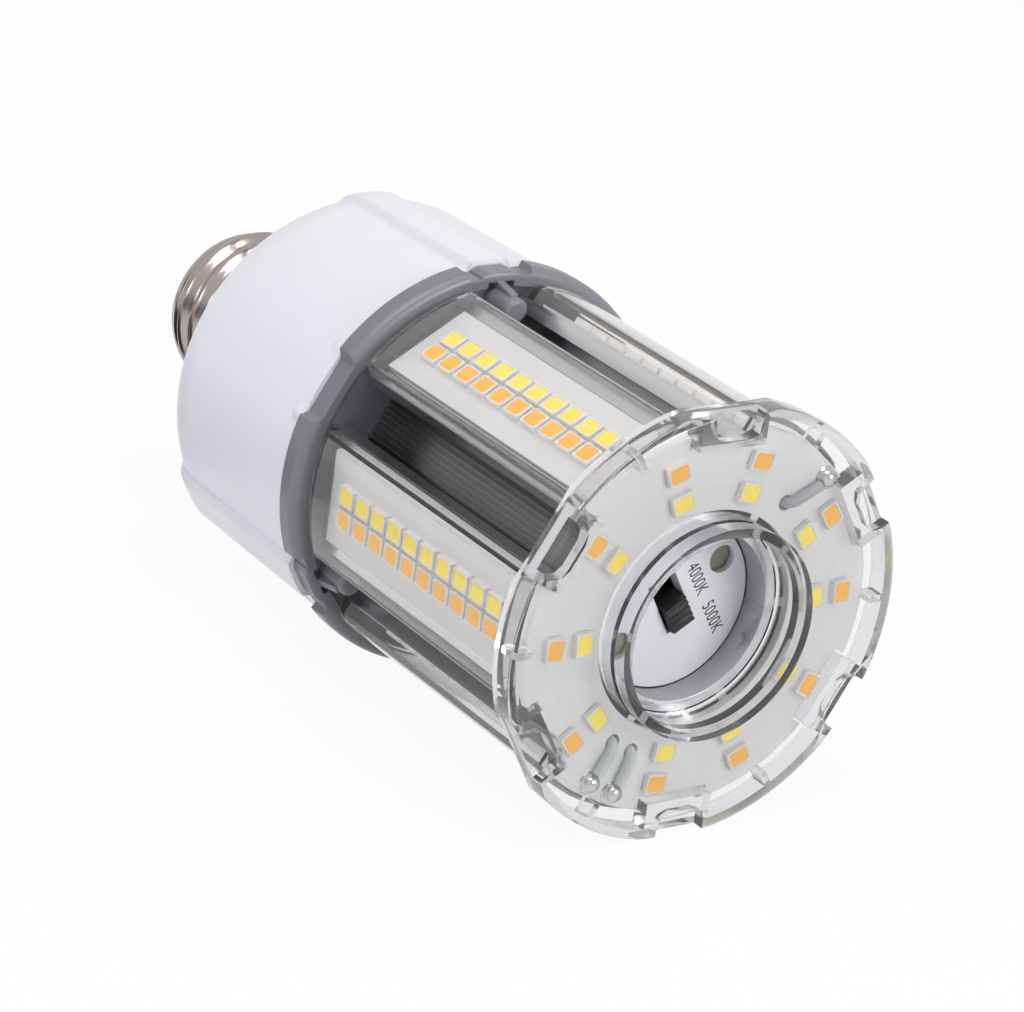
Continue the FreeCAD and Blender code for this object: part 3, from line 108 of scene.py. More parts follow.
class BulbColours(PropertyGroup):
    """Base colours of the finishes, as linear RGB."""
    housing: FloatVectorProperty(
        name="Housing", subtype="COLOR", default=(0.80, 0.79, 0.84), min=0, max=1,
        description="White plastic of the driver housing")
    collar: FloatVectorProperty(
        name="Collar", subtype="COLOR", default=(0.20, 0.20, 0.225), min=0, max=1,
        description="Grey plastic of the collar")
    metal: FloatVectorProperty(
        name="Extrusion", subtype="COLOR", default=(0.76, 0.76, 0.78), min=0, max=1,
        description="Bare aluminium of the heat sink")
    mask: FloatVectorProperty(
        name="Solder mask", subtype="COLOR", default=(0.90, 0.895, 0.885), min=0, max=1,
        description="White solder mask of the light boards")
    cool: FloatVectorProperty(
        name="Cool phosphor", subtype="COLOR", default=(1.0, 0.76, 0.09), min=0, max=1,
        description="Yellow phosphor of the cool white lights")
    warm: FloatVectorProperty(
        name="Warm phosphor", subtype="COLOR", default=(1.0, 0.47, 0.04), min=0, max=1,
        description="Orange phosphor of the warm white lights")
    nickel: FloatVectorProperty(
        name="Nickel", subtype="COLOR", default=(0.46, 0.40, 0.375), min=0, max=1,
        description="Nickel plate of the screw shell")


# ---- Points, grids and meshes ----

def lay(points):
    """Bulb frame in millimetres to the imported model's frame in metres: X is -y, Y runs back from
    the heat sink's front by -z, and Z is x above the bulb axis."""
    p = np.asarray(points, float)
    return np.stack([-p[..., 1] * MM, FRONT_Y - p[..., 2] * MM, AXIS_Z + p[..., 0] * MM], -1)


def turn(points, degrees):
    """Turns points about the bulb axis: (x cos a - y sin a, x sin a + y cos a, z)."""
    a = math.radians(degrees)
    p = np.asarray(points, float)
    return np.stack([p[..., 0] * math.cos(a) - p[..., 1] * math.sin(a),
                     p[..., 0] * math.sin(a) + p[..., 1] * math.cos(a), p[..., 2]], -1)


def grid_faces(rows, columns, close_rows=False, close_columns=True):
    """Quads of a grid of points, as index rows; a closed direction joins its ends."""
    i = np.arange(rows if close_rows else rows - 1)
    j = np.arange(columns if close_columns else columns - 1)
    i, j = np.meshgrid(i, j, indexing="ij")
    k, m = (i + 1) % rows, (j + 1) % columns
    return np.stack([i * columns + j, i * columns + m, k * columns + m, k * columns + j],
                    -1).reshape(-1, 4)


def lofted(rings):
    """Points and quads of a skin through rings, closed at both ends by a small middle ring."""
    rings = np.asarray(rings, float)
    first = rings[0].mean(0) + (rings[0] - rings[0].mean(0)) * 0.02
    last = rings[-1].mean(0) + (rings[-1] - rings[-1].mean(0)) * 0.02
    rings = np.concatenate([first[None], rings, last[None]])
    rows, columns = rings.shape[:2]
    faces = grid_faces(rows, columns).tolist()
    faces.append(list(range(columns))[::-1])
    faces.append([(rows - 1) * columns + j for j in range(columns)])
    return rings.reshape(-1, 3), faces


def turned_profile(profile, count=48):
    """A solid of revolution about Z of a profile of (radius, height) rows."""
    t = np.linspace(0, 2 * np.pi, count, endpoint=False)
    r, z = np.asarray(profile, float).T
    rings = np.stack([r[:, None] * np.cos(t), r[:, None] * np.sin(t),
                      np.repeat(z[:, None], count, 1)], -1)
    return lofted(rings)


def gather(parts):
    """Joins (points, faces, material index) parts into one set of arrays."""
    points, faces, slots = [], [], []
    start = 0
    for part_points, part_faces, part_slots in parts:
        points.append(part_points)
        faces += [[v + start for v in face] for face in part_faces]
        slots += list(np.broadcast_to(part_slots, len(part_faces)))
        start += len(part_points)
    return np.concatenate(points), faces, np.array(slots, int)


def make_piece(name, points, faces, materials, slots=0, body="bulb", node=None, sharp=40):
    """Puts laid points and faces into a mesh object that rides on a body."""
    mesh = bpy.data.meshes.new(name)
    mesh.from_pydata(np.asarray(points, float).tolist(), [], [list(f) for f in faces])
    for material in materials:
        mesh.materials.append(material)
    slots = np.broadcast_to(slots, len(faces)).astype(np.int32)
    mesh.polygons.foreach_set("material_index", np.ascontiguousarray(slots))
    mesh.validate()
    mesh.shade_smooth()
    mesh.set_sharp_from_angle(angle=math.radians(sharp))
    mesh.update()
    piece = bpy.data.objects.new(name, mesh)
    bpy.context.scene.collection.objects.link(piece)
    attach(piece, body)
    if node:
        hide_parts(node)
    return piece


def coordinates(mesh):
    """A mesh's points as rows of x, y and z."""
    points = np.empty(len(mesh.vertices) * 3, np.float32)
    mesh.vertices.foreach_get("co", points)
    return points.reshape(-1, 3).astype(float)


def node_points(node):
    """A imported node's points in the bulb's frame, in millimetres."""
    points = coordinates(NODES[node].data)
    return np.stack([(points[:, 2] - AXIS_Z) / MM, -points[:, 0] / MM,
                     (FRONT_Y - points[:, 1]) / MM], -1)


def merged(node):
    """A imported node's shape with its loose triangles joined: points that agree to 0.1 um count
    as one, and triangles that fall together are left out."""
    mesh, step = NODES[node].data, 1e-7
    corners = np.empty(len(mesh.loops), np.int32)
    mesh.loops.foreach_get("vertex_index", corners)
    whole = np.round(coordinates(mesh) / step).astype(np.int64)
    kept, which = np.unique(whole, axis=0, return_inverse=True)
    faces = which.reshape(-1)[corners].reshape(-1, 3)
    a, b, c = faces.T
    faces = faces[(a != b) & (b != c) & (c != a)]
    return kept * step, faces.tolist()


# ---- Materials ----

class Finish:
    """A procedural material on Object coordinates, built up one layer at a time."""

    def __init__(self, name, colour, **sockets):
        self.material = bpy.data.materials.new(name)
        self.material.use_nodes = True
        self.tree = self.material.node_tree
        self.shader = self.tree.nodes["Principled BSDF"]
        self.colour = (*colour, 1.0)
        self.shader.inputs["Base Color"].default_value = self.colour
        for socket, value in sockets.items():
            self.shader.inputs[socket.replace("_", " ")].default_value = value
        self.height = None

    def node(self, kind, **settings):
        made = self.tree.nodes.new("ShaderNode" + kind)
        for key, value in settings.items():
            if key in made.inputs:
                made.inputs[key].default_value = value
            else:
                setattr(made, key, value)
        return made

    def place(self, scale=(1, 1, 1)):
        """Object coordinates with the bulb axis at the origin and each direction scaled."""
        source = self.node("TexCoord").outputs["Object"]
        mapping = self.node("Mapping")
        mapping.inputs["Location"].default_value = (0, 0, -AXIS_Z * scale[2])
        mapping.inputs["Scale"].default_value = scale
        self.tree.links.new(source, mapping.inputs["Vector"])
        return mapping.outputs["Vector"]

    def noise(self, scale, detail=4.0, stretch=(1, 1, 1)):
        made = self.node("TexNoise", Scale=scale, Detail=detail)
        self.tree.links.new(self.place(stretch), made.inputs["Vector"])
        return made.outputs["Fac"]

    def ramp(self, source, low, high, at=(0.3, 0.7)):
        made = self.node("MapRange")
        for key, value in zip(("From Min", "From Max", "To Min", "To Max"), (*at, low, high)):
            made.inputs[key].default_value = value
        self.tree.links.new(source, made.inputs["Value"])
        return made.outputs["Result"]

    def tint(self, source, other, low=0.0, high=1.0, at=(0.3, 0.7)):
        """Blends the colour so far towards another one where the pattern is high."""
        mix = self.node("Mix", data_type="RGBA")
        first, second = [s for s in mix.inputs if s.type == "RGBA"]
        base = self.shader.inputs["Base Color"]
        first.default_value = self.colour
        if base.is_linked:
            self.tree.links.new(base.links[0].from_socket, first)
        second.default_value = (*other, 1.0)
        self.tree.links.new(self.ramp(source, low, high, at), mix.inputs["Factor"])
        self.tree.links.new(next(s for s in mix.outputs if s.type == "RGBA"), base)
        return self

    def rough(self, source, low, high, at=(0.3, 0.7)):
        self.tree.links.new(self.ramp(source, low, high, at), self.shader.inputs["Roughness"])
        return self

    def soft_edges(self, radius):
        """Shades each edge as if it were rounded."""
        made = self.node("Bevel", Radius=radius, samples=6)
        self.height = made.outputs["Normal"]
        self.tree.links.new(self.height, self.shader.inputs["Normal"])
        return self

    def paint_hollow_shade(self, distance, other):
        """Paints shade: darkens the colour of what lies deep between walls, where shade falls."""
        made = self.node("AmbientOcclusion", Distance=distance, samples=4, only_local=True)
        return self.tint(made.outputs["AO"], other, 1.0, 0.0, (0.1, 0.7))

    def bump(self, source, distance, strength=1.0):
        made = self.node("Bump", Strength=strength, Distance=distance)
        self.tree.links.new(source, made.inputs["Height"])
        if self.height:
            self.tree.links.new(self.height, made.inputs["Normal"])
        self.height = made.outputs["Normal"]
        self.tree.links.new(self.height, self.shader.inputs["Normal"])
        return self


def moulded(name, colour, roughness=0.38, grain=2600.0, depth=0.000012, edge=0.0):
    """Moulded plastic: a fine grain, a slow change of gloss and a faint change of colour."""
    finish = Finish(name, colour, Roughness=roughness)
    if edge:
        finish.soft_edges(edge)
    grainy = finish.noise(grain, 3.0)
    slow = finish.noise(45.0, 3.0)
    finish.rough(slow, roughness - 0.05, roughness + 0.06)
    finish.tint(slow, tuple(c * 0.94 for c in colour), 0.0, 0.5)
    finish.bump(grainy, depth, 0.35)
    return finish.material


def extruded(name, colour):
    """Extruded aluminium: fine die lines along the bulb, patches of gloss, and painted shade that
    darkens the grooves between the ridges and the gaps between the strips."""
    finish = Finish(name, colour, Metallic=1.0, Roughness=0.22).soft_edges(0.00012)
    lines = finish.noise(1.0, 1.0, (2200.0, 0.3, 2200.0))
    streaks = finish.noise(1.0, 1.0, (420.0, 0.3, 420.0))
    finish.tint(streaks, tuple(c * 0.72 for c in colour), 0.0, 0.35, (0.45, 0.7))
    # Painted shade: the narrow grooves between the ridges and the deep gaps between the strips are
    # darkened.
    finish.paint_hollow_shade(0.0011, tuple(c * 0.12 for c in colour))
    finish.paint_hollow_shade(0.045, tuple(c * 0.17 for c in colour))
    finish.rough(streaks, 0.18, 0.28)
    finish.bump(lines, 0.000004, 0.25)
    return finish.material


def plated(name, colour, roughness=0.16, root_shade_reach=0.0):
    """Plated or bare metal with faint scuffs, and painted shade in the root of a thread where a
    reach is given.
    """
    finish = Finish(name, colour, Metallic=1.0, Roughness=roughness)
    scuffs = finish.noise(700.0, 5.0)
    patches = finish.noise(110.0, 3.0)
    finish.rough(patches, roughness, roughness + 0.12)
    finish.tint(patches, tuple(c * 0.82 for c in colour), 0.0, 0.5)
    # Painted shade: the colour darkens in the root of a thread.
    if root_shade_reach:
        finish.paint_hollow_shade(root_shade_reach, tuple(c * 0.3 for c in colour))
    finish.bump(scuffs, 0.000008, 0.3)
    return finish.material


DYE = (0.5, 0.505, 0.54, 1.0)       # a faint blue grey, thinned by the density given with it


def clear(name, colour, grey, milk, index, waves=160.0, depth=0.00006, dye=0.0):
    """Clear moulded plastic with a slow wave in its surface, milky where the view runs along it
    and greyed there by painted shade, and with a dye that greys what is seen through much of it."""
    finish = Finish(name, colour, Roughness=0.05, IOR=index)
    finish.shader.inputs["Transmission Weight"].default_value = 1.0
    facing = finish.node("LayerWeight", Blend=0.5).outputs["Facing"]
    # Painted shade: the colour greys where the view runs along the surface.
    finish.tint(facing, tuple(c * grey for c in colour), 0.0, 1.0, (0.4, 0.9))
    finish.tree.links.new(finish.ramp(facing, 1.0 - milk * 0.06, 1.0 - milk, (0.5, 1.0)),
                          finish.shader.inputs["Transmission Weight"])
    slow = finish.noise(waves, 2.0)
    finish.bump(slow, depth, 0.25)
    finish.rough(slow, 0.03, 0.08)
    if dye:
        deep = finish.node("VolumeAbsorption", Density=dye)
        deep.inputs["Color"].default_value = DYE
        finish.tree.links.new(deep.outputs["Volume"],
                              finish.tree.nodes["Material Output"].inputs["Volume"])
    return finish.material


def solder_mask(name, colour, rings=False):
    """White solder mask over copper: faint edges of tracks show through it as low steps."""
    finish = Finish(name, colour, Roughness=0.32)
    finish.shader.inputs["Coat Weight"].default_value = 0.25
    wave = finish.node("TexWave", wave_type="RINGS" if rings else "BANDS", wave_profile="SAW")
    if rings:
        wave.rings_direction = "Y"
    else:
        wave.bands_direction = "Y"
    wave.inputs["Scale"].default_value = 95.0 if rings else 37.0
    wave.inputs["Distortion"].default_value = 0.0
    finish.tree.links.new(finish.place(), wave.inputs["Vector"])
    steps = finish.ramp(wave.outputs["Fac"], 0.0, 1.0, (0.0, 0.16))
    finish.tint(steps, tuple(c * 0.93 for c in colour), 0.0, 0.7, (0.0, 1.0))
    cloudy = finish.noise(240.0, 3.0)
    finish.tint(cloudy, tuple(c * 0.93 for c in colour), 0.0, 0.6)
    finish.rough(cloudy, 0.28, 0.4)
    finish.bump(steps, 0.00002, 0.5)
    finish.bump(finish.noise(3000.0, 2.0), 0.000006, 0.4)
    return finish.material


def phosphor(name, colour):
    """Silicone filled with phosphor: a soft, slightly glossy surface, fine specks and a painted
    glow.
    """
    finish = Finish(name, colour, Roughness=0.34, IOR=1.41)
    finish.shader.inputs["Subsurface Weight"].default_value = 0.15
    finish.shader.inputs["Subsurface Radius"].default_value = (0.0006, 0.0004, 0.0001)
    # Painted glow: the phosphor gives off a faint light of its own colour, though it is no lamp
    # here.
    finish.shader.inputs["Emission Color"].default_value = finish.colour
    finish.shader.inputs["Emission Strength"].default_value = 0.2
    specks = finish.noise(3800.0, 2.0)
    finish.tint(specks, tuple(min(1.0, c * 1.12 + 0.02) for c in colour), 0.0, 0.6)
    finish.bump(finish.noise(1500.0, 2.0), 0.00001, 0.5)
    return finish.material


FINISHES = {}


def stock(key):
    """Makes each finish once, when a piece first asks for it."""
    colours = bpy.context.scene.bulb_colours
    makers = {
        "housing": lambda: moulded("white_housing", colours.housing, edge=0.0009),
        "collar": lambda: moulded("grey_collar", colours.collar, 0.36, 3000.0, edge=0.0003),
        "metal": lambda: extruded("extrusion", colours.metal),
        # One white mask in two tones: the ring board's copy is painted lighter, to make up for the
        # light that the cap's dye takes away, and the strips' copy is a little darker.
        "strip_mask": lambda: solder_mask("strip_mask", tuple(c * 0.95 for c in colours.mask)),
        "ring_mask": lambda: solder_mask("ring_mask", tuple(c * 1.05 for c in colours.mask),
                                         rings=True),
        "cap": lambda: clear("clear_cap", (0.98, 0.98, 0.985), 0.6, 0.5, 1.34, dye=100.0),
        "cover": lambda: clear("clear_cover", (0.965, 0.96, 0.965), 0.72, 0.35, 1.33, 60.0,
                               0.00003),
        "cool": lambda: phosphor("cool_phosphor", colours.cool),
        "warm": lambda: phosphor("warm_phosphor", colours.warm),
        "package": lambda: moulded("package_white", (0.92, 0.90, 0.88), 0.4, 5000.0, 0.000004),
        "terminal": lambda: plated("terminal_tin", (0.75, 0.74, 0.72), 0.2),
        # the nickel's thread gets painted shade in its root
        "nickel": lambda: plated("nickel", colours.nickel, 0.15, root_shade_reach=0.003),
        "solder": lambda: plated("solder", (0.68, 0.67, 0.65), 0.05),
        "screw": lambda: plated("zinc_screw", (0.30, 0.28, 0.23), 0.28),
        "contact": lambda: plated("contact", (0.72, 0.66, 0.52), 0.2),
        "plate": lambda: moulded("switch_plate_white", (0.73, 0.735, 0.775), 0.34, 2600.0,
                                 edge=0.0002),
        "black": lambda: moulded("black_plastic", (0.012, 0.012, 0.013), 0.42, 2200.0, 0.00002,
                                 0.0001),
        "insulator": lambda: moulded("black_insulator", (0.02, 0.02, 0.022), 0.14, 800.0),
        "ink": lambda: moulded("grey_ink", (0.035, 0.035, 0.04), 0.6, 4000.0, 0.000002),
        "grey_lead": lambda: moulded("grey_insulation", (0.46, 0.48, 0.50), 0.38, 2500.0),
        "white_lead": lambda: moulded("white_insulation", (0.70, 0.76, 0.76), 0.4, 2500.0),
        "red_lead": lambda: moulded("red_insulation", (0.45, 0.03, 0.02), 0.4, 2500.0),
        "green": lambda: solder_mask("green_mask", (0.02, 0.16, 0.06)),
        "tape": lambda: moulded("yellow_tape", (0.75, 0.55, 0.08), 0.3, 900.0),
        "sleeve": lambda: moulded("capacitor_sleeve", (0.02, 0.025, 0.06), 0.25, 900.0),
    }
    if key not in FINISHES:
        FINISHES[key] = makers[key]()
    return FINISHES[key]


def dress(node, key):
    """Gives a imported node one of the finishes."""
    node_object = NODES[node]
    for index in range(len(node_object.material_slots)):
        node_object.material_slots[index].material = stock(key)


# ---- Light packages ----

def cut_ring(half_x, half_y, cut, level):
    """A rectangle with its corners cut at 45 degrees at one level, as eight points."""
    x, y = half_x, half_y
    ring = [(x, cut - y), (x, y - cut), (x - cut, y), (cut - x, y),
            (-x, y - cut), (-x, cut - y), (cut - x, -y), (x - cut, -y)]
    return np.array([(a, b, level) for a, b in ring])


def package(sizes):
    """One light package on its board, in a few dozen faces: a white frame that climbs, turns in
    over its rim and steps down to a window of phosphor, and a tinned foot at each end."""
    a, b, h = sizes.package_long / 2, sizes.package_wide / 2, sizes.package_high
    wa, wb = a * sizes.window_share, b * sizes.window_share
    corner, inner_corner, edge, lip, sunk = 0.12, 0.3, 0.07, 0.05, 0.12
    skin = np.stack([
        cut_ring(b, a, corner, 0.0), cut_ring(b, a, corner, h - 0.08),
        cut_ring(b - edge, a - edge, corner, h),
        cut_ring(wb + lip, wa + lip, inner_corner, h),
        cut_ring(wb, wa, inner_corner, h - sunk), cut_ring(wb * 0.7, wa * 0.75, 0.25, h - 0.07)])
    faces = grid_faces(6, 8).tolist() + [list(range(40, 48)), list(range(8))[::-1]]
    slots = [0] * 32 + [1] * 8 + [1, 0]
    foot_x, foot_y, foot_high = 0.7 * b, 0.22, 0.16
    foot = np.array([(x, y, z) for z in (0.0, foot_high)
                     for x, y in ((-foot_x, -foot_y), (foot_x, -foot_y),
                                  (foot_x, foot_y), (-foot_x, foot_y))])
    foot_faces = [(0, 1, 5, 4), (1, 2, 6, 5), (2, 3, 7, 6), (3, 0, 4, 7), (4, 5, 6, 7),
                  (3, 2, 1, 0)]
    feet = [(foot + (0, side * (a - 0.12), 0), foot_faces, 2) for side in (-1, 1)]
    return gather([(skin.reshape(-1, 3), faces, slots), *feet])


def repeat(shape, places):
    """Copies of (points, faces, slots) after each function of places has moved its points."""
    points, faces, slots = shape
    return gather([(place(points), faces, slots) for place in places])


def strip_place(angle, across, along, face):
    """Stands a package on a strip: its height points out, its length runs along the bulb."""
    def place(p):
        stood = np.stack([face + p[:, 2], across + p[:, 0], along + p[:, 1]], -1)
        return turn(stood, angle)
    return place


def ring_place(angle, radius, level):
    """Stands a package on the front board, with its width along a radius."""
    def place(p):
        return turn(p + (radius, 0, level), angle)
    return place


def solid_middles(node):
    """Middles of the ten solids of a node of lights, which have equal counts of points."""
    groups = node_points(node).reshape(10, -1, 3)
    return (groups.min(1) + groups.max(1)) / 2


class BULB_OT_lights(Operator):
    """Replace the plain light blocks by packages with a rim, a window and feet"""
    bl_idname = "bulb.lights"
    bl_label = "Light packages"

    def execute(self, context):
        sizes = context.scene.bulb_sizes
        shape = package(sizes)
        half_high = sizes.package_high / 2
        for tone in ("cool", "warm"):
            materials = [stock("package"), stock(tone), stock("terminal")]
            for number, letter in enumerate(STRIPS):
                node = "%s_lights_%s" % (tone, letter)
                angle = FIRST_STRIP + NEXT_STRIP * number
                middles = turn(solid_middles(node), -angle)
                places = [strip_place(angle, y, z, x - half_high) for x, y, z in middles]
                points, faces, slots = repeat(shape, places)
                make_piece("%s_row_%s" % (tone, letter), lay(points), faces, materials, slots,
                           node=node, sharp=35)
            node = tone + "_lights_front"
            places = [ring_place(math.degrees(math.atan2(y, x)), math.hypot(x, y),
                                 z - half_high) for x, y, z in solid_middles(node)]
            points, faces, slots = repeat(shape, places)
            make_piece(tone + "_ring", lay(points), faces, materials, slots, node=node,
                       sharp=35)
        return {"FINISHED"}


class BULB_OT_screw_shell(Operator):
    """Replace the ringed shell by one with a true right-hand thread"""
    bl_idname = "bulb.screw_shell"
    bl_label = "Screw shell"

    def execute(self, context):
        """The radius is root + high * ((1 + cos(2 pi z / pitch - t)) / 2) ^ 0.85, with t around
        the axis, faded at both ends of the thread by a soft step; the end turns in on a quarter
        of an ellipse, and a plain inner wall closes the skin."""
        sizes = context.scene.bulb_sizes
        top = (FRONT_Y - SHELL_LOW.y) / MM
        bottom = (FRONT_Y - SHELL_HIGH.y) / MM
        crest = (SHELL_HIGH.z - SHELL_LOW.z) / 2 / MM
        root = crest - sizes.thread_high
        bend, flatter, bore, wall = 2.2, 0.82, 12.0, 0.1
        z = np.linspace(top, bottom + bend, 150)
        q = np.linspace(0, np.pi / 2, 10)[1:]
        outer_z = np.concatenate([z, bottom + bend - bend * np.sin(q)])
        outer_r = np.concatenate([np.full(z.shape, root),
                                  root - bend * (1 - np.cos(q)) * flatter])
        fade = np.clip((top - 1.4 - outer_z) / 1.5, 0, 1) * np.clip(
            (outer_z - bottom - bend + 0.4) / 2.0, 0, 1)
        inner_r = np.array([outer_r[-1] - wall, outer_r[-1] - wall, bore, bore])
        inner_z = np.array([bottom + 0.05, bottom + bend, bottom + bend + 0.05, top])
        r = np.concatenate([outer_r, inner_r])[:, None]
        height = np.concatenate([outer_z, inner_z])[:, None]
        weight = np.concatenate([fade * fade * (3 - 2 * fade), np.zeros(4)])[:, None]
        t = np.linspace(0, 2 * np.pi, 160, endpoint=False)[None, :]
        wave = 0.5 + 0.5 * np.cos(2 * np.pi * height / sizes.thread_pitch - t)
        r = r + sizes.thread_high * weight * wave ** 0.85
        points = np.stack([r * np.cos(t), r * np.sin(t), height + 0 * t], -1)
        faces = grid_faces(points.shape[0], points.shape[1], close_rows=True)[:, ::-1]
        make_piece("threaded_shell", lay(points.reshape(-1, 3)), faces, [stock("nickel")],
                   node="screw_shell", sharp=50)
        return {"FINISHED"}


class BULB_OT_housing(Operator):
    """Replace the housing by one whose ribs rise softly from its wall"""
    bl_idname = "bulb.housing"
    bl_label = "Driver housing"

    def execute(self, context):
        """A profile turned about the axis: r falls by the draft from front to rear, a quarter
        circle of the rim's radius turns in, and the rear face, shoulder, neck and inner walls
        close it.  Outside, three ribs add high * soft step of the distance from their middles,
        and six small tabs at the front add tab_high (1 - u^2), with u in mm across a tab."""
        z = context.scene.bulb_sizes
        tab_long, tab_high, tab_places = 2.4, 0.35, (49.5, 70.5)
        wall, shoulder_rad, shoulder_long = 1.8, 13.75, 2.4
        neck_rad, neck_bore, neck_long = 11.9, 10.4, 17.0
        front, rear = -z.housing_front, -z.housing_front - z.housing_long
        turn_in = rear + z.rim_round
        along = np.concatenate([np.linspace(front, front - tab_long, 5),
                                np.linspace(front - tab_long - 0.05, turn_in, 20)])
        radius = z.housing_rad - z.housing_draft * (front - along) / z.housing_long
        a = np.linspace(0, np.pi / 2, 17)[1:]
        inner_rad = z.housing_rad - z.housing_draft - z.rim_round
        arc_r = inner_rad + z.rim_round * np.cos(a)
        arc_z = turn_in - z.rim_round * np.sin(a)
        tail = np.array([(17.0, rear), (shoulder_rad, rear),
                         (shoulder_rad, rear - shoulder_long), (neck_rad, rear - shoulder_long),
                         (neck_rad, rear - neck_long), (neck_bore, rear - neck_long),
                         (neck_bore, rear + wall), (inner_rad, rear + wall),
                         (inner_rad + z.rim_round - wall, turn_in),
                         (z.housing_rad - wall, front)])
        r = np.concatenate([radius, arc_r, tail[:, 0]])[:, None]
        height = np.concatenate([along, arc_z, tail[:, 1]])[:, None]
        share = np.concatenate([np.ones(25), np.cos(a), np.zeros(len(tail))])[:, None]
        tabbed = np.concatenate([np.ones(5), np.zeros(len(r) - 5)])[:, None]
        t = np.linspace(0, 2 * np.pi, 720, endpoint=False)[None, :]
        third = 2 * np.pi / 3
        away = np.abs((t + third / 2) % third - third / 2) * z.housing_rad
        step = np.clip((z.rib_wide / 2 + 0.5 - away) / 1.0, 0, 1)
        r = r + z.rib_high * share * step * step * (3 - 2 * step)
        for middle in tab_places:
            u = ((t - math.radians(middle) + third / 2) % third - third / 2) * z.housing_rad
            r = r + tab_high * tabbed * np.clip(1 - u * u, 0, 1)
        points = np.stack([r * np.cos(t), r * np.sin(t), height + 0 * t], -1)
        faces = grid_faces(points.shape[0], points.shape[1], close_rows=True)[:, ::-1]
        make_piece("ribbed_housing", lay(points.reshape(-1, 3)), faces, [stock("housing")],
                   node="driver_housing", sharp=38)
        return {"FINISHED"}


class BULB_OT_cap(Operator):
    """Round every edge of the clear front cap"""
    bl_idname = "bulb.cap"
    bl_label = "Front cap"

    def execute(self, context):
        points, faces = merged("front_cap")
        cap = make_piece("rounded_cap", points, faces, [stock("cap")], node="front_cap",
                         sharp=180)
        soft = cap.modifiers.new("soft_edges", "BEVEL")
        soft.width = context.scene.bulb_sizes.soft_edge * MM
        soft.segments = 2
        soft.limit_method = "ANGLE"
        soft.angle_limit = math.radians(35)
        soft.harden_normals = True
        return {"FINISHED"}


class BULB_OT_solder(Operator):
    """Replace the plain solder domes by joints with a fillet and a small peak"""
    bl_idname = "bulb.solder"
    bl_label = "Solder joints"

    def execute(self, context):
        """A turned profile: a concave foot, a full round body and a small peak on top."""
        rad = context.scene.bulb_sizes.solder_rad
        groups = node_points("solder_joints").reshape(3, -1, 3)
        middle = (groups.min(1) + groups.max(1)) / 2
        level = groups[..., 2].min()
        t = np.linspace(0, 1, 14)
        r = rad * np.where(t < 0.2, 1.12 - 0.6 * t, np.sqrt(np.clip(1 - ((t - 0.2) / 0.85) ** 2,
                                                                    0, 1)))
        z = rad * 1.04 * t
        r = np.append(r, [rad * 0.16, rad * 0.04])
        z = np.append(z, [rad * 1.09, rad * 1.14])
        dome, faces = turned_profile(np.stack([r, z], -1), 32)
        dome_points, dome_faces, slots = gather([(dome + (x, y, level), faces, 0)
                                                 for x, y, _ in middle])
        make_piece("solder_beads", lay(dome_points), dome_faces, [stock("solder")], slots,
                   node="solder_joints", sharp=60)
        return {"FINISHED"}


class BULB_OT_switch(Operator):
    """Give the switch its ribbed knob, its plate and the marks of its two places"""
    bl_idname = "bulb.switch"
    bl_label = "Slide switch"

    def execute(self, context):
        dress("switch_plate", "plate")
        dress("switch_body", "black")
        dress("switch_board", "green")
        self.knob()
        self.marks(context.scene.bulb_sizes.mark_high)
        return {"FINISHED"}

    def marks(self, high):
        """The two marks, flat on the plate and read along the knob's travel."""
        type_size, narrow, across = high * MM * 1.38, 0.67, -4.75
        reading, upward = np.array([-1.0, 0.0]), np.array([0.0, -1.0])
        level = (FRONT_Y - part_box("switch_plate")[0].y) / MM
        for word, along in (("4000K", 0.75), ("5000K", -6.25)):
            curve = bpy.data.curves.new(word, "FONT")
            curve.body = word
            curve.size = type_size
            curve.space_character = 1.02
            curve.align_x = "CENTER"
            curve.align_y = "CENTER"
            curve.extrude = 0.000006
            curve.resolution_u = 4
            text = bpy.data.objects.new(word, curve)
            bpy.context.scene.collection.objects.link(text)
            bpy.context.view_layer.update()
            mesh = bpy.data.meshes.new_from_object(text)
            bpy.data.objects.remove(text)
            flat = coordinates(mesh) / MM
            spot = (flat[:, :1] * narrow * reading + flat[:, 1:2] * upward
                    + np.array([along, across]))
            placed = np.stack([spot[:, 0], spot[:, 1], level + flat[:, 2]], -1)
            placed = lay(turn(placed, PLATE_TURN))
            faces = [list(p.vertices) for p in mesh.polygons]
            make_piece("mark_" + word, placed, faces, [stock("ink")], sharp=30)

    def knob(self):
        """The side view of the knob, top - deep ((1 - cos(2 pi ribs x)) / 2) ^ 1.5 with x from
        0 to 1 along it, drawn across its width and pinched a little at both sides."""
        own = turn(node_points("switch_knob"), -PLATE_TURN)
        low, high = own.min(0), own.max(0)
        x = np.linspace(0, 1, 41)
        ribs, deep = 4, 0.4
        top = high[2] - deep * (0.5 - 0.5 * np.cos(2 * np.pi * ribs * x)) ** 1.5
        top[[0, -1]] -= 0.25
        along = low[0] + x * (high[0] - low[0])
        side = np.concatenate([np.stack([along, top], -1),
                               [[high[0], low[2]], [low[0], low[2]]]])
        middle = np.array([(low[0] + high[0]) / 2, (low[2] + high[2]) / 2])
        rings = []
        for across, share in ((low[1], 0.96), (low[1] + 0.12, 1.0), (high[1] - 0.12, 1.0),
                              (high[1], 0.96)):
            flat = middle + (side - middle) * share
            rings.append(np.stack([flat[:, 0], np.full(len(flat), across), flat[:, 1]], -1))
        skin = np.stack(rings)
        columns = skin.shape[1]
        faces = grid_faces(4, columns).tolist()
        faces.append(list(range(columns))[::-1])
        faces.append([3 * columns + j for j in range(columns)])
        make_piece("ribbed_knob", lay(turn(skin.reshape(-1, 3), PLATE_TURN)), faces,
                   [stock("black")], body="knob", node="switch_knob", sharp=35)


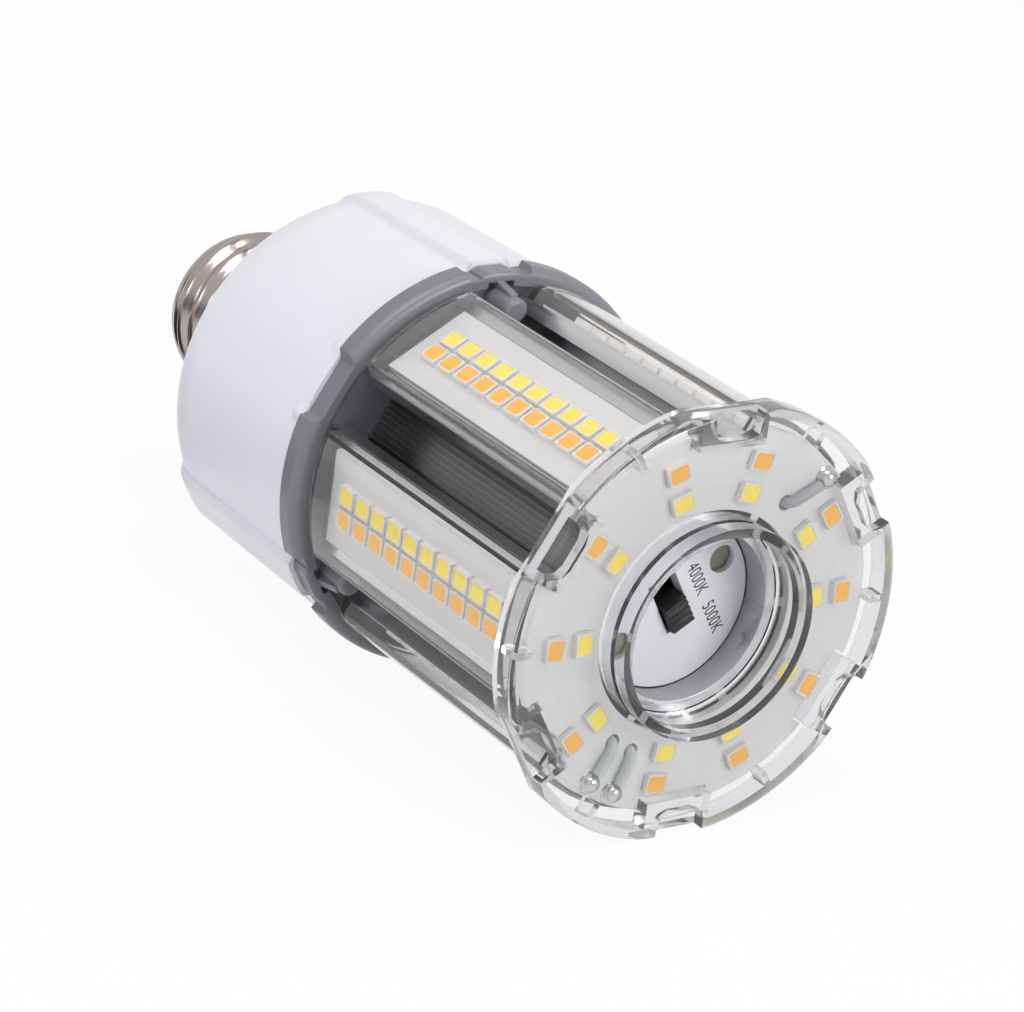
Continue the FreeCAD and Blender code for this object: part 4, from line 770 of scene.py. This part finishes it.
class BULB_OT_finishes(Operator):
    """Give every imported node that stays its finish"""
    bl_idname = "bulb.finishes"
    bl_label = "Finishes"

    def execute(self, context):
        kept = {
            "driver_housing": "housing", "collar": "collar", "heat_sink": "metal",
            "front_board": "ring_mask", "front_cap": "cap", "base_insulator": "insulator",
            "end_contact": "contact", "plate_screws": "screw", "collar_screws": "screw",
            "lead_grey": "grey_lead", "lead_white_1": "white_lead",
            "lead_white_2": "white_lead", "driver_board": "green",
            "driver_transformer": "tape", "driver_capacitor": "sleeve",
            "driver_choke": "black", "driver_chips": "black", "supply_lead": "red_lead",
            "return_lead": "white_lead"}
        for letter in STRIPS:
            kept["strip_board_" + letter] = "strip_mask"
            kept["strip_cover_" + letter] = "cover"
        for node, key in kept.items():
            dress(node, key)
        return {"FINISHED"}


class BULB_OT_stage(Operator):
    """Set the pale floor, the soft lamps, the world and the camera"""
    bl_idname = "bulb.stage"
    bl_label = "Stage"

    def execute(self, context):
        self.floor()
        self.flags()
        self.world(context.scene)
        self.lamps()
        self.camera(context.scene)
        context.scene.view_settings.view_transform = "Standard"
        return {"FINISHED"}

    def floor(self):
        mesh = bpy.data.meshes.new("floor")
        reach = 4.0
        mesh.from_pydata([(-reach, -reach, 0), (reach, -reach, 0), (reach, reach, 0),
                          (-reach, reach, 0)], [], [(0, 1, 2, 3)])
        material = bpy.data.materials.new("pale_floor")
        material.use_nodes = True
        tree = material.node_tree
        base = tree.nodes["Principled BSDF"]
        base.inputs["Base Color"].default_value = (0.86, 0.86, 0.87, 1)
        base.inputs["Roughness"].default_value = 0.9
        glow = tree.nodes.new("ShaderNodeEmission")
        glow.inputs["Strength"].default_value = 1.0
        mix = tree.nodes.new("ShaderNodeMixShader")
        tree.links.new(self.seen(tree, 0.93), mix.inputs["Fac"])
        tree.links.new(base.outputs["BSDF"], mix.inputs[1])
        tree.links.new(glow.outputs["Emission"], mix.inputs[2])
        tree.links.new(mix.outputs["Shader"], tree.nodes["Material Output"].inputs["Surface"])
        mesh.materials.append(material)
        floor = bpy.data.objects.new("floor", mesh)
        bpy.context.scene.collection.objects.link(floor)

    def aimed(self, spot, flat=False):
        """The place of a card or lamp that stands at a spot and faces the bulb's middle, or of
        one that lies flat."""
        away = Vector((0, 0, 1)) if flat else Vector(spot) - Vector((0, 0, AXIS_Z))
        return Matrix.Translation(spot) @ away.to_track_quat("Z", "Y").to_matrix().to_4x4()

    def flags(self):
        """Dark cards that only reflections see; they give the metal and the clear pieces their
        dark bands, as black cards beside a product do."""
        material = bpy.data.materials.new("dark_card")
        material.use_nodes = True
        shader = material.node_tree.nodes["Principled BSDF"]
        shader.inputs["Base Color"].default_value = (0.02, 0.02, 0.022, 1)
        shader.inputs["Roughness"].default_value = 1.0
        for name, spot, wide, high in (("card_left", (-0.55, 0.0, 0.10), 0.5, 0.16),
                                       ("card_behind", (-0.40, 0.55, 0.17), 0.4, 0.14),
                                       ("card_top", (0.0, -0.1, 0.6), 0.10, 0.5),
                                       ("card_flat", (-0.13, 0.17, 0.002), 0.2, 0.24)):
            mesh = bpy.data.meshes.new(name)
            a, b = wide / 2, high / 2
            mesh.from_pydata([(-a, -b, 0), (a, -b, 0), (a, b, 0), (-a, b, 0)], [],
                             [(0, 1, 2, 3)])
            mesh.materials.append(material)
            card = bpy.data.objects.new(name, mesh)
            card.matrix_world = self.aimed(spot, name == "card_flat")
            bpy.context.scene.collection.objects.link(card)
            for ray in ("camera", "diffuse", "transmission", "shadow", "volume_scatter"):
                setattr(card, "visible_" + ray, False)

    def seen(self, tree, share):
        """A share that holds for what the camera sees, also in a reflection or through glass."""
        path = tree.nodes.new("ShaderNodeLightPath")
        total = path.outputs["Is Camera Ray"]
        for name in ("Is Glossy Ray", "Is Transmission Ray"):
            join = tree.nodes.new("ShaderNodeMath")
            join.operation = "MAXIMUM"
            tree.links.new(total, join.inputs[0])
            tree.links.new(path.outputs[name], join.inputs[1])
            total = join.outputs[0]
        part = tree.nodes.new("ShaderNodeMath")
        part.operation = "MULTIPLY"
        part.inputs[1].default_value = share
        tree.links.new(total, part.inputs[0])
        return part.outputs[0]

    def world(self, scene):
        scene.world = bpy.data.worlds.new("studio")
        scene.world.use_nodes = True
        tree = scene.world.node_tree
        soft = tree.nodes["Background"]
        soft.inputs["Color"].default_value = (0.93, 0.95, 1.0, 1)
        soft.inputs["Strength"].default_value = 0.45
        white = tree.nodes.new("ShaderNodeBackground")
        white.inputs["Strength"].default_value = 1.0
        mix = tree.nodes.new("ShaderNodeMixShader")
        tree.links.new(self.seen(tree, 1.0), mix.inputs["Fac"])
        tree.links.new(soft.outputs["Background"], mix.inputs[1])
        tree.links.new(white.outputs["Background"], mix.inputs[2])
        tree.links.new(mix.outputs["Shader"], tree.nodes["World Output"].inputs["Surface"])

    def lamps(self):
        for name, spot, width, power, colour in (
                ("key", (-0.15, -0.25, 0.95), 0.7, 5.2, (1.0, 0.99, 0.97)),
                ("front", (0.45, -1.0, 0.45), 0.5, 5.6, (1.0, 1.0, 1.0)),
                ("side", (-0.95, 0.20, 0.35), 0.5, 1.6, (0.95, 0.97, 1.0))):
            lamp = bpy.data.lights.new(name, "AREA")
            lamp.shape = "RECTANGLE"
            lamp.size = width
            lamp.size_y = width * 0.7
            lamp.energy = power
            lamp.color = colour
            item = bpy.data.objects.new(name, lamp)
            item.matrix_world = self.aimed(spot)
            bpy.context.scene.collection.objects.link(item)

    def camera(self, scene):
        """The camera found from the rows of lights in the photograph."""
        camera = bpy.data.cameras.new("camera")
        camera.lens = 142.218
        camera.sensor_width = 36.0
        camera.clip_start = 0.01
        item = bpy.data.objects.new("camera", camera)
        right = (0.827443, -0.548309, 0.121222)
        down = (-0.116655, -0.379000, -0.918015)
        forward = (0.549299, 0.745464, -0.377564)
        place = Matrix.Identity(4)
        for row in range(3):
            place[row][0] = right[row]
            place[row][1] = -down[row]
            place[row][2] = -forward[row]
        place[0][3], place[1][3], place[2][3] = -0.310723, FRONT_Y - 0.379152, 0.242047
        item.matrix_world = place
        scene.collection.objects.link(item)
        scene.camera = item


STEPS = ("finishes", "lights", "screw_shell", "housing", "cap", "solder", "switch", "stage")


class BULB_PT_panel(Panel):
    """Lists the steps and the sizes and colours they use"""
    bl_label = "Corn LED bulb"
    bl_idname = "BULB_PT_panel"
    bl_space_type = "VIEW_3D"
    bl_region_type = "UI"
    bl_category = "Bulb"

    def draw(self, context):
        for step in STEPS:
            self.layout.operator("bulb." + step)
        for group in (context.scene.bulb_sizes, context.scene.bulb_colours):
            box = self.layout.box()
            for name in group.__annotations__:
                box.prop(group, name)


CLASSES = (BulbSizes, BulbColours, BULB_OT_finishes, BULB_OT_lights, BULB_OT_screw_shell,
           BULB_OT_housing, BULB_OT_cap, BULB_OT_solder, BULB_OT_switch, BULB_OT_stage,
           BULB_PT_panel)


def register():
    for item in CLASSES:
        bpy.utils.register_class(item)
    bpy.types.Scene.bulb_sizes = PointerProperty(type=BulbSizes)
    bpy.types.Scene.bulb_colours = PointerProperty(type=BulbColours)


def unregister():
    del bpy.types.Scene.bulb_sizes
    del bpy.types.Scene.bulb_colours
    for item in reversed(CLASSES):
        bpy.utils.unregister_class(item)


def main():
    register()
    for step in STEPS:
        getattr(bpy.ops.bulb, step)()


if __name__ == "__main__":
    main()
